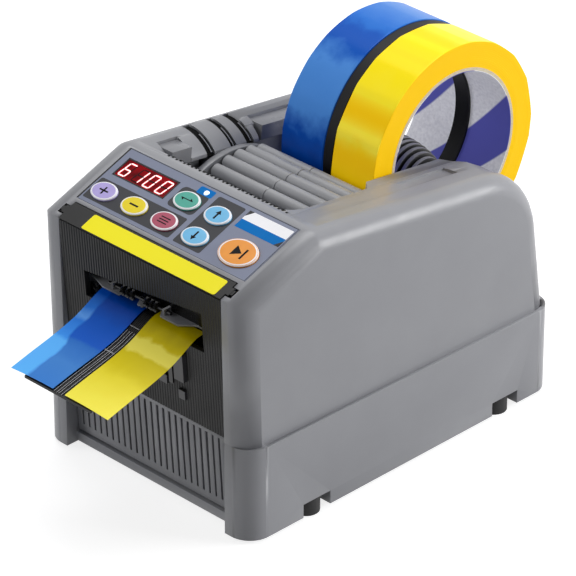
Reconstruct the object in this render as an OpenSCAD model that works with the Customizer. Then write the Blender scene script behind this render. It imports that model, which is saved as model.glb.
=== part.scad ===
// Electric tape dispenser with two tape rolls, drawn as separate working parts.
// Every module is drawn from the front fold line (y = 0) and the underside of the
// body (z = 0); place() then moves it to the shared frame, which has its origin
// at the feet, under the middle of the whole thing from the strip ends to the back
// of the rolls. X is right, Y is back, Z is up, in mm.

/* [Body] */
// Width of the upper case
body_w = 130; // [120:1:140]
// How far the lower base stands proud of the upper case on each side
base_step = 1.6; // [1:0.1:2.5]
// Depth of the body from the front fold line to the back of the base
body_d = 198; // [190:1:206]
// Height of the fold line above the underside of the body
fold_z = 118.2; // [112:0.2:124]
// Angle of the sloping control panel
slope = 20.3; // [15:0.1:26]
// Angle at which the side walls fall towards the back
wall_fall = 7.3; // [5:0.1:10]
// Half of the clear width between the two front columns
column_in = 51; // [49:0.5:53]
// Half of the clear width of the roll bay
bay_in = 46; // [44:0.5:47]
// How much the front leans back for each millimetre of height lost
lean = 0.0707; // [0:0.001:0.1]
// Height of the rubber feet below the body
foot_h = 2; // [1:0.5:4]

/* [Control panel] */
// Width of the printed overlay
panel_w = 105.6; // [100:0.2:108]
// Length of the overlay along the slope
panel_len = 35.1; // [32:0.1:38]
// Distance up the slope from the fold line to the overlay
panel_v = 13.4; // [12:0.1:15]
// Width of the small oval buttons
button_w = 14.5; // [13:0.1:15]
// Height of the small oval buttons, measured up the slope
button_h = 10.5; // [10:0.1:12]
// Width of the start button
start_w = 20.8; // [19:0.1:22]
// Height of the start button, measured up the slope
start_h = 15.6; // [14:0.1:17]
// Travel of a button
button_travel = 0.6; // [0.3:0.1:1]

/* [Rolls] */
// Outer radius of a tape roll
roll_r = 52.5; // [45:0.5:53]
// Width of a tape roll
roll_w = 25.7; // [20:0.1:28]
// Width of the black spacer between the rolls
spacer_w = 5.8; // [3:0.1:7]
// Inner radius of the cardboard core
core_r = 38.1; // [37:0.1:39]
// Thickness of the cardboard core
core_wall = 1.8; // [1.4:0.1:3]
// Distance of the roll axis behind the fold line
roll_y = 167.5; // [160:0.5:170]
// Height of the roll axis above the underside
roll_z = 118.5; // [110:0.5:124]

/* [Outlet] */
// Width of a cut tape strip
strip_w = 27; // [20:0.5:30]
// How far the strips and the tray reach out in front of the fold line
strip_out = 49.5; // [40:0.5:60]

/* [Hidden] */
half_w = body_w / 2;
wall_r = (half_w - bay_in) / 2;
base_half = half_w + base_step;
step_z = 46.4;
step_fall = 1.0;
ridge_y = 47.1;
ridge_z = fold_z + ridge_y * tan(slope);
rear_r = 40;
rear_lean = 8.1;
rear_cy = 149;
rear_cz = 82.2;
fine = 24;
guide_cy = 94.8;
guide_cz = 75.9;
guide_r = 43;
roller_r = 3.4;
roller_seam = -2.6;
roller_angles = [for (i = [0:6]) 19.6 - i * 9.5];
bed_half = 36.6;
cheek_in = 36.9;
cheek_out = 40.3;
cheek_cy = 91.5;
cheek_cz = 75.5;
cheek_r = 46.6;
barrel_x = 56;
barrel_r = 19.3;
barrel_t = 3;
barrel_end = 40.6;
ledge_x = 50.5;
ledge_h = 7.3;
ledge_drop = 2;
small_ledge = [59.6, 71.7];
long_ledge = [116.5, 157.4];
floor_z = 50;
cradle_front = [128.4, 71.9, 8, 3];
cradle_rear = [182.5, 62.7, 5, 2.5];
drive_y = 40.1;
drive_z = 66;
cutter_y = 23.8;
cutter_z = 108;
star_y = 6.2;
star_z = 93.3;
inlet_x = -38;
rocker_x = 40;
rocker_y = 196.4;
socket_z = 21;
screw_x = 56;
screw_ys = [24, 186];
foot_x = 59.6;
foot_ys = [43, 165];
foot_r = 6.4;
display_u = -48;
display_v = 32.6;
display_w = 31.2;
display_h = 10.3;
lamp_u = -0.7;
lamp_v = 44.5;
lamp_r = 1.5;
hub_y = 149;
hub_z = 110;
hub_r = 15.6;
hub_half = 29;
hub_taper = 5;
feed_y = 27;
feed_z = 80.2;
feed_r = 8;
pinch_z = 95.3;
pinch_r = 6.5;
tooth = 0.8;
hinge_v = 5.4;
hinge_drop = -1.9;
bay_front = 53;
deck_v = 11.1;
deck_t = 3;
shelf_in = 36;
shelf_roll = 30.5;
shelf_back = 157;
shelf_end = 9;
shelf_t = 5;
shelf_drop = 2;
crown_r = 95;
ridge_h = 0.35;

module place() {
    translate([0, -(roll_y + roll_r - strip_out) / 2, foot_h])
        children();
}

// A cylinder along X, centred on x
module rod_x(x, y, z, r, len) {
    translate([x - len / 2, y, z])
        rotate([0, 90, 0])
            cylinder(h = len, r = r, $fn = 48);
}

// A flat shape drawn in (y, z) and given a thickness along X
module slab_x(x0, x1) {
    translate([x0, 0, 0])
        rotate([90, 0, 90])
            linear_extrude(height = x1 - x0)
                children();
}

// Children stand on the slope, v millimetres up it from the fold line
module on_slope(u, v) {
    translate([u, 0, fold_z])
        rotate([slope, 0, 0])
            translate([0, v, 0])
                children();
}

module box(x0, x1, y0, y1, z0, z1) {
    translate([x0, y0, z0])
        cube([x1 - x0, y1 - y0, z1 - z0]);
}

function front_y(z) = (fold_z - z) * lean;

// A point in (y, z), v millimetres up the slope and w above it
function slope_point(v, w) = [v * cos(slope) - w * sin(slope), fold_z + v * sin(slope) + w * cos(slope)];

// Height of the slope line and of the wall tops, moved inwards by r
function ridge_in_y(r) = (ridge_z + ridge_y * tan(wall_fall) - r / cos(wall_fall) - fold_z + r / cos(slope))
    / (tan(slope) + tan(wall_fall));
function ridge_in_z(r) = fold_z + ridge_in_y(r) * tan(slope) - r / cos(slope);
// How far along the line of the wall tops its straight part reaches
line_end = ridge_y + (rear_cy + rear_r * sin(wall_fall) - ridge_y) / cos(wall_fall);

// Centres of the spheres that round the side profile
function profile(r) = concat(
    [[-22, fold_z - 22 * tan(slope) - r / cos(slope)], [ridge_in_y(r), ridge_in_z(r)]],
    [for (i = [0:9]) let(a = 90 - wall_fall - i * (90 - wall_fall - rear_lean) / 9)
        [rear_cy + (rear_r - r) * cos(a), rear_cz + (rear_r - r) * sin(a)]],
    [[rear_cy + (rear_r - r) * cos(rear_lean) + 55 * tan(rear_lean), rear_cz + (rear_r - r) * sin(rear_lean) - 55],
     [-22, 30]]);

// A block with rounded upright corners
module upright_block(x0, x1, y0, y1, z0, z1, r) {
    translate([0, 0, z0])
        linear_extrude(height = z1 - z0) {
            translate([x0 + r, y0])
                square([x1 - x0 - 2 * r, y1 - y0]);
            translate([x0, y0 + r])
                square([x1 - x0, y1 - y0 - 2 * r]);
            for (x = [x0 + r, x1 - r])
                for (y = [y0 + r, y1 - r])
                    translate([x, y])
                        circle(r = r, $fn = 48);
        }
}

// A gear along X; its teeth are plain trapezia
module gear_x(x, y, z, teeth, width, bore, turn = 0) {
    pitch = teeth * tooth / 2;
    pts = [for (i = [0:teeth - 1])
        for (k = [[-0.30, -1.0], [-0.14, 0.8], [0.14, 0.8], [0.30, -1.0]])
            let(a = (i + k[0]) * 360 / teeth + turn, r = pitch + k[1] * tooth)
                [r * cos(a), r * sin(a)]];
    translate([x - width / 2, y, z])
        rotate([90, 0, 90])
            linear_extrude(height = width)
                difference() {
                    polygon(pts);
                    if (bore > 0)
                        circle(r = bore, $fn = 48);
                }
}

// The whole outside of the upper case before anything is cut away
module case_outside() {
    intersection() {
        hull()
            for (x = [-1, 1])
                for (p = profile(wall_r))
                    translate([x * (half_w - wall_r), p[0], p[1]])
                        sphere(r = wall_r, $fn = fine);
        translate([0, 0, fold_z])
            rotate([1.15, 0, 0])
                translate([0, 0, -fold_z])
                    upright_block(-half_w, half_w, 0, 230, 0, 160, 10.5);
    }
}

// Children stand on the line of the wall tops: y along it, z above it
module on_top_line() {
    translate([0, ridge_y, ridge_z])
        rotate([-wall_fall, 0, 0])
            translate([0, -ridge_y, 0])
                children();
}

// The smooth shelf along the inside of the right wall, as seen from above
module shelf_outline() {
    r = 14;
    difference() {
        polygon([[shelf_in - r, bay_front - 2], [50, bay_front - 2], [50, shelf_back + shelf_end],
            [bay_in, shelf_back + shelf_end], [shelf_in + 2, shelf_back + 5], [shelf_roll, shelf_back],
            [shelf_roll, 110], [shelf_in, 105], [shelf_in, bay_front + r], [shelf_in - r, bay_front + r]]);
        translate([shelf_in - r, bay_front + r])
            circle(r = r, $fn = 64);
    }
}

module shelf_body() {
    on_top_line()
        translate([0, 0, -shelf_t])
            linear_extrude(height = shelf_t + 5)
                shelf_outline();
}

// What the shelf's crown takes away: a wide curve from the wall's crest inwards
module shelf_crown() {
    crest = half_w - wall_r;
    on_top_line()
        translate([0, bay_front, 0])
            rotate([-90, 0, 0])
                linear_extrude(height = shelf_back + shelf_end + 2 - bay_front)
                    difference() {
                        translate([shelf_roll - 4, -8])
                            square([crest - shelf_roll + 4, 8 + shelf_drop]);
                        translate([crest, crown_r])
                            circle(r = crown_r, $fn = 192);
                    }
}

// The left wall's inner side, a broad barrel that hangs over the guide rollers, in the bay
module barrel_body() {
    on_top_line()
        translate([0, bay_front - 2, 0])
            rotate([-90, 0, 0])
                linear_extrude(height = long_ledge[0] - bay_front)
                    difference() {
                        translate([-50, -5])
                            square([50 - barrel_end, 5 + ledge_drop + ledge_h]);
                        translate([-barrel_x, barrel_r])
                            circle(r = barrel_r - barrel_t, $fn = 128);
                    }
}

// What that barrel takes away from the straight part of the left wall's top
module barrel_crown() {
    on_top_line()
        translate([0, bay_front, 0])
            rotate([-90, 0, 0])
                linear_extrude(height = line_end - bay_front)
                    difference() {
                        translate([-barrel_x, -4])
                            square([barrel_x - barrel_end + 1, 4 + ledge_drop + ledge_h]);
                        translate([-barrel_x, barrel_r])
                            circle(r = barrel_r, $fn = 192);
                    }
}

// Rounds a wall's inner edge along its rear arc, from the rear up through an angle
module rear_round(side, turn, crest, r) {
    translate([0, rear_cy, rear_cz])
        rotate([0, 90, 0])
            rotate([0, 0, 90])
                rotate_extrude(angle = turn, $fn = 96)
                    difference() {
                        translate([rear_r - r, side > 0 ? bay_in - 1 : -crest])
                            square([r + 4, crest - bay_in + 1]);
                        translate([rear_r - r, side * crest])
                            circle(r = r, $fn = 96);
                    }
}

// Everything below the step line
module below_step(z_extra) {
    translate([0, 0, step_z + z_extra])
        rotate([-step_fall, 0, 0])
            translate([-100, -60, -100])
                cube([200, 320, 100]);
}

module oval(w, h, grow) {
    polygon([for (i = [0:47]) [(w / 2 + grow) * cos(i * 7.5), (h / 2 + grow) * sin(i * 7.5)]]);
}

// Centre of each button on the slope, its width and its height
buttons = [[-43.3, 21.9, button_w, button_h], [-24.2, 22, button_w, button_h], [-5.1, 21.9, button_w, button_h],
    [-4.9, 36.3, button_w, button_h], [14.2, 36.4, button_w, button_h], [14.1, 21.9, button_w, button_h],
    [38.6, 24.2, start_w, start_h]];

module button_holes(grow) {
    for (b = buttons)
        on_slope(b[0], b[1])
            translate([0, 0, -12])
                linear_extrude(height = 20)
                    oval(b[2], b[3], grow);
}

// The cut for the display and for the lamp, a little larger than each on every side
module display_cut(grow, lamp_grow) {
    on_slope(display_u, display_v)
        translate([-grow, -grow, -10])
            cube([display_w + 2 * grow, display_h + 2 * grow, 20]);
    on_slope(lamp_u, lamp_v)
        translate([0, 0, -12])
            cylinder(h = 20, r = lamp_r + lamp_grow, $fn = 40);
}

module upper_case() {
    place() color([0.55, 0.56, 0.58])
        difference() {
            case_outside();
            below_step(0);
            // front recess for the cover, the feed space behind it and the room under the deck
            slab_x(-column_in, column_in)
                polygon([[-5, 20], [-5, 108], slope_point(-20, 20), slope_point(deck_v, 20),
                    slope_point(deck_v, -deck_t), slope_point(46, -deck_t), [bay_front + 0.2, 106],
                    [bay_front + 0.2, 20]]);
            // roll bay, open at the back above the low rear wall
            difference() {
                union() {
                    box(-bay_in, bay_in, bay_front, 187.9, 20, 170);
                    box(-bay_in, bay_in, bay_front, 240, 68, 170);
                }
                shelf_body();
                barrel_body();
            }
            shelf_crown();
            barrel_crown();
            // recess over the hub's seat
            on_top_line()
                translate([40, 119, -2.2])
                    cube([8.5, 31, 5]);
            rear_round(-1, 90 - wall_fall, barrel_x, barrel_r);
            rear_round(1, acos((shelf_back + shelf_end - rear_cy) / rear_r), bay_in + wall_r, wall_r);
            // hollow inside each side wall
            for (side = [-1, 1])
                slab_x(side > 0 ? 49.5 : -61.5, side > 0 ? 61.5 : -49.5)
                    polygon([[54, 20], [54, 119], [150, 106], [170, 84], [181, 20]]);
            for (side = [-1, 1])
                slab_x(side > 0 ? 53.5 : -61.5, side > 0 ? 61.5 : -53.5)
                    polygon([[13, 20], [13, 106], [46, 118], [50, 118], [50, 20]]);
            // three cross slots in the left wall top
            for (slot = [[80.4, 4.8], [95.4, 3.5], [105.1, 4.6]])
                box(-57.3, -barrel_end + 1, slot[0], slot[0] + slot[1], 112, 140);
            // seats of the two left ledges
            on_top_line()
                for (ledge = [small_ledge, long_ledge])
                    translate([-ledge_x - 0.5, ledge[0] - 0.3, -ledge_drop - ledge_h - 0.3])
                        cube([12, ledge[1] - ledge[0] + 0.6, 16]);
            // overlay recess, buttons, display and lamp
            on_slope(0, 0)
                translate([-panel_w / 2 - 0.2, panel_v - 0.2, -0.5])
                    cube([panel_w + 0.4, panel_len + 0.4, 5]);
            button_holes(0.25);
            // room for the collars of the keys below the deck
            for (b = buttons)
                on_slope(b[0], b[1])
                    translate([0, 0, -12])
                        linear_extrude(height = 8.8)
                            oval(b[2], b[3], 1);
            display_cut(0.2, 0.6);
            // comb of small notches along the back of the front lip
            for (i = [0:15])
                box(-36.9 + i * 4.9, -34.9 + i * 4.9, 51.6, 54, 120, 140);
            // hinge pockets and pin holes of the cover
            on_slope(0, hinge_v) {
                for (side = [-1, 1])
                    rod_x(side * 52.4, 0, hinge_drop, 3.4, 4);
                rod_x(0, 0, hinge_drop, 1.26, 114.6);
            }
            // pin holes of the cradle rollers
            for (c = [cradle_front, cradle_rear])
                rod_x(0, c[0], c[1], c[3] + 0.06, 97);
        }
}

module base_tub() {
    place() color([0.55, 0.56, 0.58])
        difference() {
            union() {
                difference() {
                    upright_block(-base_half, base_half, 1.5, body_d, 0, 60, 11.5);
                    // open middle of the front
                    box(-column_in, column_in, -5, 14, -5, 80);
                    upright_block(-base_half + 2.6, base_half - 2.6, 14, body_d - 2.6, 2.6, 80, 5);
                }
                // front lip and the sill under the grille
                box(-column_in, column_in, 7.4, 16, 0.8, 5.2);
                // blocks over the feet
                for (x = [-65, 50])
                    for (y = [33, 155])
                        box(x, x + 15, y, y + 20, 1, 10);
                // screw bosses
                for (x = [-screw_x, screw_x])
                    for (y = screw_ys)
                        translate([x, y, 1])
                            cylinder(h = 12, r = 4.5, $fn = 40);
            }
            translate([0, 0, 0.1])
                difference() {
                    box(-100, 100, -50, 300, 30, 90);
                    below_step(-0.1);
                }
            // foot notches in the lower edge of each side
            for (x = [-foot_x, foot_x])
                for (y = foot_ys)
                    box(x < 0 ? -70 : x - foot_r - 0.2, x < 0 ? x + foot_r + 0.2 : 70, y - 8.4, y + 8.4, -5, 6.8);
            for (x = [-screw_x, screw_x])
                for (y = screw_ys)
                    translate([x, y, -1]) {
                        cylinder(h = 2.6, r = 3.3, $fn = 40);
                        cylinder(h = 11, r = 1.5, $fn = 40);
                    }
            // openings for the power inlet and the rocker switch
            box(inlet_x - 8, inlet_x + 8, 190, 210, socket_z - 7, socket_z + 7);
            box(rocker_x - 7.6, rocker_x + 7.6, 190, 210, socket_z - 6.4, socket_z + 6.4);
        }
}

module front_grille() {
    place() color([0.55, 0.56, 0.58])
        difference() {
            slab_x(-50.7, 50.7)
                polygon([[front_y(45.4) + 0.6, 45.4], [front_y(6.4) + 0.6, 6.4],
                    [front_y(6.4) + 3.2, 6.4], [front_y(6.4) + 3.2, 5.2], [front_y(6.4) + 5, 5.2],
                    [front_y(45.4) + 3.2, 45.4]]);
            for (i = [0:24])
                box(-47.4 + i * 3.9, -46.1 + i * 3.9, 0, 30, 10.5, 43.3);
        }
}

module panel_overlay() {
    place() color([0.50, 0.53, 0.62])
        difference() {
            on_slope(0, 0)
                translate([-panel_w / 2, panel_v, -0.5])
                    cube([panel_w, panel_len, 0.5]);
            button_holes(0.2);
            display_cut(0, 0.2);
        }
}

module display_module() {
    place() color([0.35, 0.02, 0.04])
        on_slope(display_u, display_v)
            translate([0.1, 0.1, -7.4])
                cube([display_w - 0.2, display_h - 0.2, 7.2]);
}

// A small domed lamp that stands on the switch board
module indicator_lamp() {
    place() color([0.9, 0.95, 1])
        on_slope(lamp_u, lamp_v) {
            translate([0, 0, -7.4])
                cylinder(h = 1, r = lamp_r + 0.4, $fn = 40);
            translate([0, 0, -7.4])
                cylinder(h = 6.8, r = lamp_r, $fn = 40);
            translate([0, 0, -0.6])
                sphere(r = lamp_r, $fn = 40);
        }
}

// One button: cap through the panel, collar under it, stem to the switch
module button(b) {
    on_slope(b[0], b[1]) {
        translate([0, 0, -4.6])
            linear_extrude(height = 5.2)
                oval(b[2], b[3], 0);
        translate([0, 0, 0.6])
            linear_extrude(height = 0.4)
                oval(b[2], b[3], -0.35);
        translate([0, 0, -4.6])
            linear_extrude(height = 1.3)
                oval(b[2], b[3], 0.65);
        translate([0, 0, -6.6])
            cylinder(h = 2.2, r = 2, $fn = 32);
    }
}

module button_plus() {
    place() color([0.66, 0.6, 0.85]) button(buttons[0]);
}

module button_minus() {
    place() color([0.95, 0.87, 0.2]) button(buttons[1]);
}

module button_select() {
    place() color([0.8, 0.4, 0.5]) button(buttons[2]);
}

module button_mode() {
    place() color([0.3, 0.72, 0.65]) button(buttons[3]);
}

module button_up() {
    place() color([0.5, 0.82, 1]) button(buttons[4]);
}

module button_down() {
    place() color([0.5, 0.82, 1]) button(buttons[5]);
}

module button_start() {
    place() color([1, 0.65, 0.25]) button(buttons[6]);
}

// Switch board under the panel with its four posts
module panel_board() {
    place() color([0.1, 0.35, 0.2])
        on_slope(0, 0) {
            translate([-45.8, 14, -9])
                cube([93.8, 31, 1.6]);
            for (u = [-34.2, 22.8])
                for (v = [15.5, 43])
                    if (u > 0 || v < 20)
                        translate([u, v, -7.4])
                            cylinder(h = 4.4, r = 1.5, $fn = 32);
        }
}

// Floor of the roll bay on four legs; it carries the feed mechanism
module bay_floor() {
    place() color([0.5, 0.51, 0.53]) {
        box(-45.8, 45.8, 12, 187.6, floor_z - 3, floor_z);
        for (x = [-40, 40])
            for (y = [20, 180])
                translate([x, y, 2.6])
                    cylinder(h = floor_z - 5, r = 3.5, $fn = 40);
    }
}

// Two plates with an arched top that carry the guide rollers
module roller_cheeks() {
    place() color([0.6, 0.61, 0.63])
        difference() {
            for (x = [-cheek_out, cheek_in])
                slab_x(x, x + cheek_out - cheek_in) {
                    intersection() {
                        translate([cheek_cy, cheek_cz])
                            circle(r = cheek_r, $fn = 128);
                        translate([65, 79])
                            square([57, 60]);
                    }
                    translate([81, floor_z])
                        square([32, 40]);
                }
            for (a = roller_angles)
                rod_x(0, guide_cy + guide_r * sin(a), guide_cz + guide_r * cos(a), 1.55, 2 * cheek_out + 1);
        }
}

// One guide roller: two sleeves with a fine joint between them, and end pins
module guide_roller(a) {
    end = bed_half;
    pin = cheek_out - 0.4;
    seam = roller_seam;
    translate([0, guide_cy + guide_r * sin(a), guide_cz + guide_r * cos(a)])
        rotate([0, 90, 0])
            rotate_extrude($fn = 64)
                polygon([[0, -pin], [1.5, -pin], [1.5, -end], [roller_r - 0.9, -end], [roller_r, 0.9 - end],
                    [roller_r, seam - 0.4], [roller_r - 0.4, seam - 0.2], [roller_r - 0.4, seam + 0.2],
                    [roller_r, seam + 0.4], [roller_r, end - 0.9], [roller_r - 0.9, end], [1.5, end],
                    [1.5, pin], [0, pin]]);
}

module guide_roller_1() {
    place() color([0.62, 0.63, 0.65]) guide_roller(roller_angles[0]);
}

module guide_roller_2() {
    place() color([0.62, 0.63, 0.65]) guide_roller(roller_angles[1]);
}

module guide_roller_3() {
    place() color([0.62, 0.63, 0.65]) guide_roller(roller_angles[2]);
}

module guide_roller_4() {
    place() color([0.62, 0.63, 0.65]) guide_roller(roller_angles[3]);
}

module guide_roller_5() {
    place() color([0.62, 0.63, 0.65]) guide_roller(roller_angles[4]);
}

module guide_roller_6() {
    place() color([0.62, 0.63, 0.65]) guide_roller(roller_angles[5]);
}

module guide_roller_7() {
    place() color([0.62, 0.63, 0.65]) guide_roller(roller_angles[6]);
}

// The small and the long left ledge, just below the wall's crest, and the blocks that hold the hub
module axle_ledges() {
    place() color([0.6, 0.61, 0.63])
        difference() {
            union() {
                on_top_line() {
                    translate([-ledge_x, small_ledge[0], -ledge_drop - ledge_h])
                        cube([ledge_x - barrel_end, small_ledge[1] - small_ledge[0], ledge_h]);
                    translate([-ledge_x, long_ledge[0], -ledge_drop - ledge_h])
                        cube([ledge_x - 41.2, long_ledge[1] - long_ledge[0], ledge_h]);
                }
                // the left block stands under the long ledge, the right one under the wall's shelf
                slab_x(-46, -40)
                    polygon([[134, 98], [134, 118], [156, 115.2], [156, 98]]);
                slab_x(40, 46)
                    polygon([[134, 98], [134, 118.6], [156, 115.8], [156, 98]]);
            }
            rod_x(0, hub_y, hub_z, 3.15, 92.4);
            // the left seat is open at the top, so that the hub lifts out
            box(-46.2, -30, hub_y - 3.15, hub_y + 3.15, hub_z, 135);
        }
}

// A ribbed hub inside the cores, thinner towards its ends, on a thin axle
module core_hub() {
    rings = 18;
    pitch = 2 * hub_half / rings;
    place() color([0.35, 0.36, 0.38])
        translate([0, hub_y, hub_z])
            rotate([0, 90, 0])
                rotate_extrude($fn = 72)
                    polygon(concat([[0, -45.4], [3, -45.4], [3, -hub_half]],
                        [for (i = [0:rings - 1])
                            let(x = i * pitch - hub_half,
                                r = hub_r - hub_taper * pow(abs(x + pitch / 2) / hub_half, 3))
                                for (k = [[r - 3, 0], [r - 3, 0.9], [r, 1], [r, pitch - 0.3]])
                                    [k[0], x + k[1]]],
                        [[8, hub_half], [3, hub_half], [3, 45.4], [0, 45.4]]));
}

module cradle_roller_front() {
    place() color([0.2, 0.2, 0.21]) {
        rod_x(0, cradle_front[0], cradle_front[1], cradle_front[2], 82);
        rod_x(0, cradle_front[0], cradle_front[1], cradle_front[3], 96.4);
    }
}

module cradle_roller_rear() {
    place() color([0.2, 0.2, 0.21]) {
        rod_x(0, cradle_rear[0], cradle_rear[1], cradle_rear[2], 82);
        rod_x(0, cradle_rear[0], cradle_rear[1], cradle_rear[3], 96.4);
    }
}

module tape_roll(x0) {
    translate([x0, roll_y, roll_z])
        rotate([0, 90, 0])
            difference() {
                cylinder(h = roll_w, r = roll_r, $fn = 128);
                translate([0, 0, -1])
                    cylinder(h = roll_w + 2, r = core_r + core_wall, $fn = 96);
            }
}

module card_core(x0) {
    translate([x0, roll_y, roll_z])
        rotate([0, 90, 0])
            difference() {
                cylinder(h = roll_w, r = core_r + core_wall, $fn = 96);
                translate([0, 0, -1])
                    cylinder(h = roll_w + 2, r = core_r, $fn = 96);
            }
}

module roll_blue() {
    place() color([0.1, 0.35, 0.85]) tape_roll(-spacer_w / 2 - roll_w);
}

module core_blue() {
    place() color([0.8, 0.8, 0.82]) card_core(-spacer_w / 2 - roll_w);
}

module roll_yellow() {
    place() color([1, 0.85, 0.1]) tape_roll(spacer_w / 2);
}

module core_yellow() {
    place() color([0.8, 0.8, 0.82]) card_core(spacer_w / 2);
}

// A disc between the rolls with a rim that lies inside both cores
module roll_spacer() {
    rim_w = 8.4;
    rim_r = core_r - 0.3;
    place() color([0.08, 0.08, 0.09])
        translate([0, roll_y, roll_z])
            rotate([0, 90, 0])
                difference() {
                    union() {
                        translate([0, 0, 0.3 - spacer_w / 2])
                            cylinder(h = spacer_w - 0.6, r = roll_r - 0.6, $fn = 128);
                        translate([0, 0, -rim_w / 2])
                            cylinder(h = rim_w, r = rim_r, $fn = 96);
                    }
                    translate([0, 0, -rim_w])
                        cylinder(h = 2 * rim_w, r = rim_r - 1.2, $fn = 96);
                }
}

// The cover is drawn flat as a ridged plate and then leaned back
module cover_shell() {
    n = 62;
    pitch = 101.2 / n;
    tilt = atan(lean);
    len = (fold_z - 45.9) / cos(tilt);
    place() color([0.09, 0.09, 0.1])
        difference() {
            union() {
                translate([0, 0, fold_z])
                    rotate([tilt, 0, 0])
                        translate([0, 0, -len])
                            linear_extrude(height = len - 0.6)
                                polygon(concat(
                                    [for (i = [0:n - 1]) for (k = [[0, 0], [0.25, -ridge_h], [0.75, -ridge_h]])
                                        [-50.6 + (i + k[0]) * pitch, k[1]]],
                                    [[50.6, 0], [50.6, 2.4], [-50.6, 2.4]]));
                // top strip folded over onto the slope
                on_slope(0, 0)
                    translate([-50.7, -0.1, -2])
                        cube([101.4, 10.5, 2.4]);
                // stepped hinge tabs and their pins
                for (side = [-1, 1])
                    on_slope(0, hinge_v) {
                        translate([side > 0 ? 50 : -52.6, -2.2, -3.3])
                            cube([2.6, 4.4, 3.7]);
                        translate([side > 0 ? 52.5 : -53.9, -1.3, -3.1])
                            cube([1.4, 2.6, 3.4]);
                        rod_x(side * 54.9, 0, hinge_drop, 1.2, 4.2);
                    }
            }
            // outlet
            translate([0, 20, 0])
                rotate([90, 0, 0])
                    linear_extrude(height = 40)
                        polygon([[-36.5, 84], [38.6, 86], [38, 105.5], [10, 102.5], [-36.5, 97]]);
        }
}

module cover_label() {
    place() color([0.98, 0.9, 0.1])
        on_slope(0, 0)
            translate([-36.6, 0.1, 0.4])
                cube([83.4, 9.3, 0.15]);
}

// The underside of a strip in (y, z), from inside the outlet to the free end
strip_line = [[9, 89.8], [4, 89.2], [-1, 87], [-6, 84.4], [-12, 81.7], [-20, 79.2], [-28, 77.2], [-38, 74.9],
    [-strip_out, 72]];
// The tray lies just under the strips and starts a little further out
tray_line = [for (p = strip_line) [min(p[0], 7.8), p[1] - 0.45]];

function lifted(pts, d) = [for (p = pts) [p[0], p[1] + d]];
function turned(pts) = [for (i = [len(pts) - 1:-1:0]) pts[i]];

module strip(x0) {
    slab_x(x0, x0 + strip_w)
        polygon(concat(lifted(strip_line, 0.35), turned(lifted(strip_line, 0))));
}

module strip_blue() {
    place() color([0.1, 0.35, 0.85]) strip(-28.9);
}

module strip_yellow() {
    place() color([1, 0.85, 0.1]) strip(4.7);
}

module tray() {
    place() color([0.07, 0.07, 0.08]) {
        slab_x(-20, 22)
            polygon(concat(lifted(tray_line, 0), turned(lifted(tray_line, -1.2))));
        // flange against the back of the cover
        slab_x(-20, 22)
            polygon([[front_y(83.5) + 2.41, 83.5], [front_y(76) + 2.41, 76], [front_y(76) + 4.2, 76],
                [7.0, 83.5], [7.0, 88.6], [5.6, 88.6], [5.6, 83.5]]);
        // fine ribs between the strips
        for (i = [0:5])
            slab_x(-1.35 + i * 1.0, -0.95 + i * 1.0)
                polygon(concat(lifted(tray_line, 0.3), turned(lifted(tray_line, 0))));
    }
}

module outlet_sensor() {
    place() color([0.4, 0.41, 0.43])
        translate([0, 0, fold_z])
            rotate([atan(lean), 0, 0])
                translate([0, -ridge_h, -fold_z]) {
                    box(20.5, 26.5, -2.3, 0, 66, 80);
                    box(9.5, 14.5, -1.3, 0, 60, 64.5);
                    box(21.5, 25.5, -1.3, 0, 56, 60.5);
                }
}

module frame_plate(x0) {
    difference() {
        box(x0, x0 + 2, 16, 50, floor_z, 114);
        rod_x(x0 + 1, feed_y, feed_z, 2.55, 6);
        rod_x(x0 + 1, feed_y, pinch_z, 2.05, 6);
        rod_x(x0 + 1, drive_y, drive_z, 3, 6);
        rod_x(x0 + 1, cutter_y, cutter_z, 3, 6);
        rod_x(x0 + 1, 41, 90, 5, 6);
        box(x0 - 2, x0 + 4, 36, 60, 106, 120);
    }
}

module frame_plate_left() {
    place() color([0.72, 0.72, 0.7]) frame_plate(-45.5);
}

module frame_plate_right() {
    place() color([0.72, 0.72, 0.7]) frame_plate(43.5);
}

module tie_bars() {
    place() color([0.75, 0.75, 0.76]) {
        rod_x(0, 44, 102, 2.5, 87);
        rod_x(0, 22, 58, 2.5, 87);
    }
}

module feed_roller() {
    place() color([0.15, 0.15, 0.16]) {
        rod_x(0, feed_y, feed_z, feed_r, 80);
        rod_x(2.5, feed_y, feed_z, 2.5, 96.6);
    }
}

module feed_gear() {
    place() color([0.9, 0.88, 0.8])
        gear_x(47.6, feed_y, feed_z, 36, 3, 2.5);
}

module pinch_roller() {
    place() color([0.3, 0.3, 0.31]) {
        rod_x(0, feed_y, pinch_z, pinch_r, 80);
        rod_x(0, feed_y, pinch_z, 2, 92);
    }
}

module feed_pinion() {
    place() color([0.8, 0.7, 0.4]) {
        gear_x(47.6, drive_y, drive_z, 12, 3, 0, 5.8);
        rod_x(44.6, drive_y, drive_z, 1.5, 3);
    }
}

module feed_motor() {
    place() color([0.6, 0.6, 0.62])
        difference() {
            union() {
                rod_x(29.9, drive_y, drive_z, 10, 27.2);
                rod_x(44.4, drive_y, drive_z, 2.6, 2.8);
            }
            rod_x(44.8, drive_y, drive_z, 1.8, 4);
        }
}

// Three flat tabs over the strips, seen from above as (x, y from their front edge)
press_tabs = [[[-27.5, 0], [-17, 0], [-17, 5.5], [-43, 5.5], [-38.5, 3.5]],
    [[-5.5, 0], [-2.2, 0], [-2.2, 5.5], [-7, 5.5], [-7, 3.5]],
    [[9, 0], [20, 0], [25.5, 3.5], [29, 5.5], [6.5, 5.5], [6.5, 3.5]]];

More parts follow.
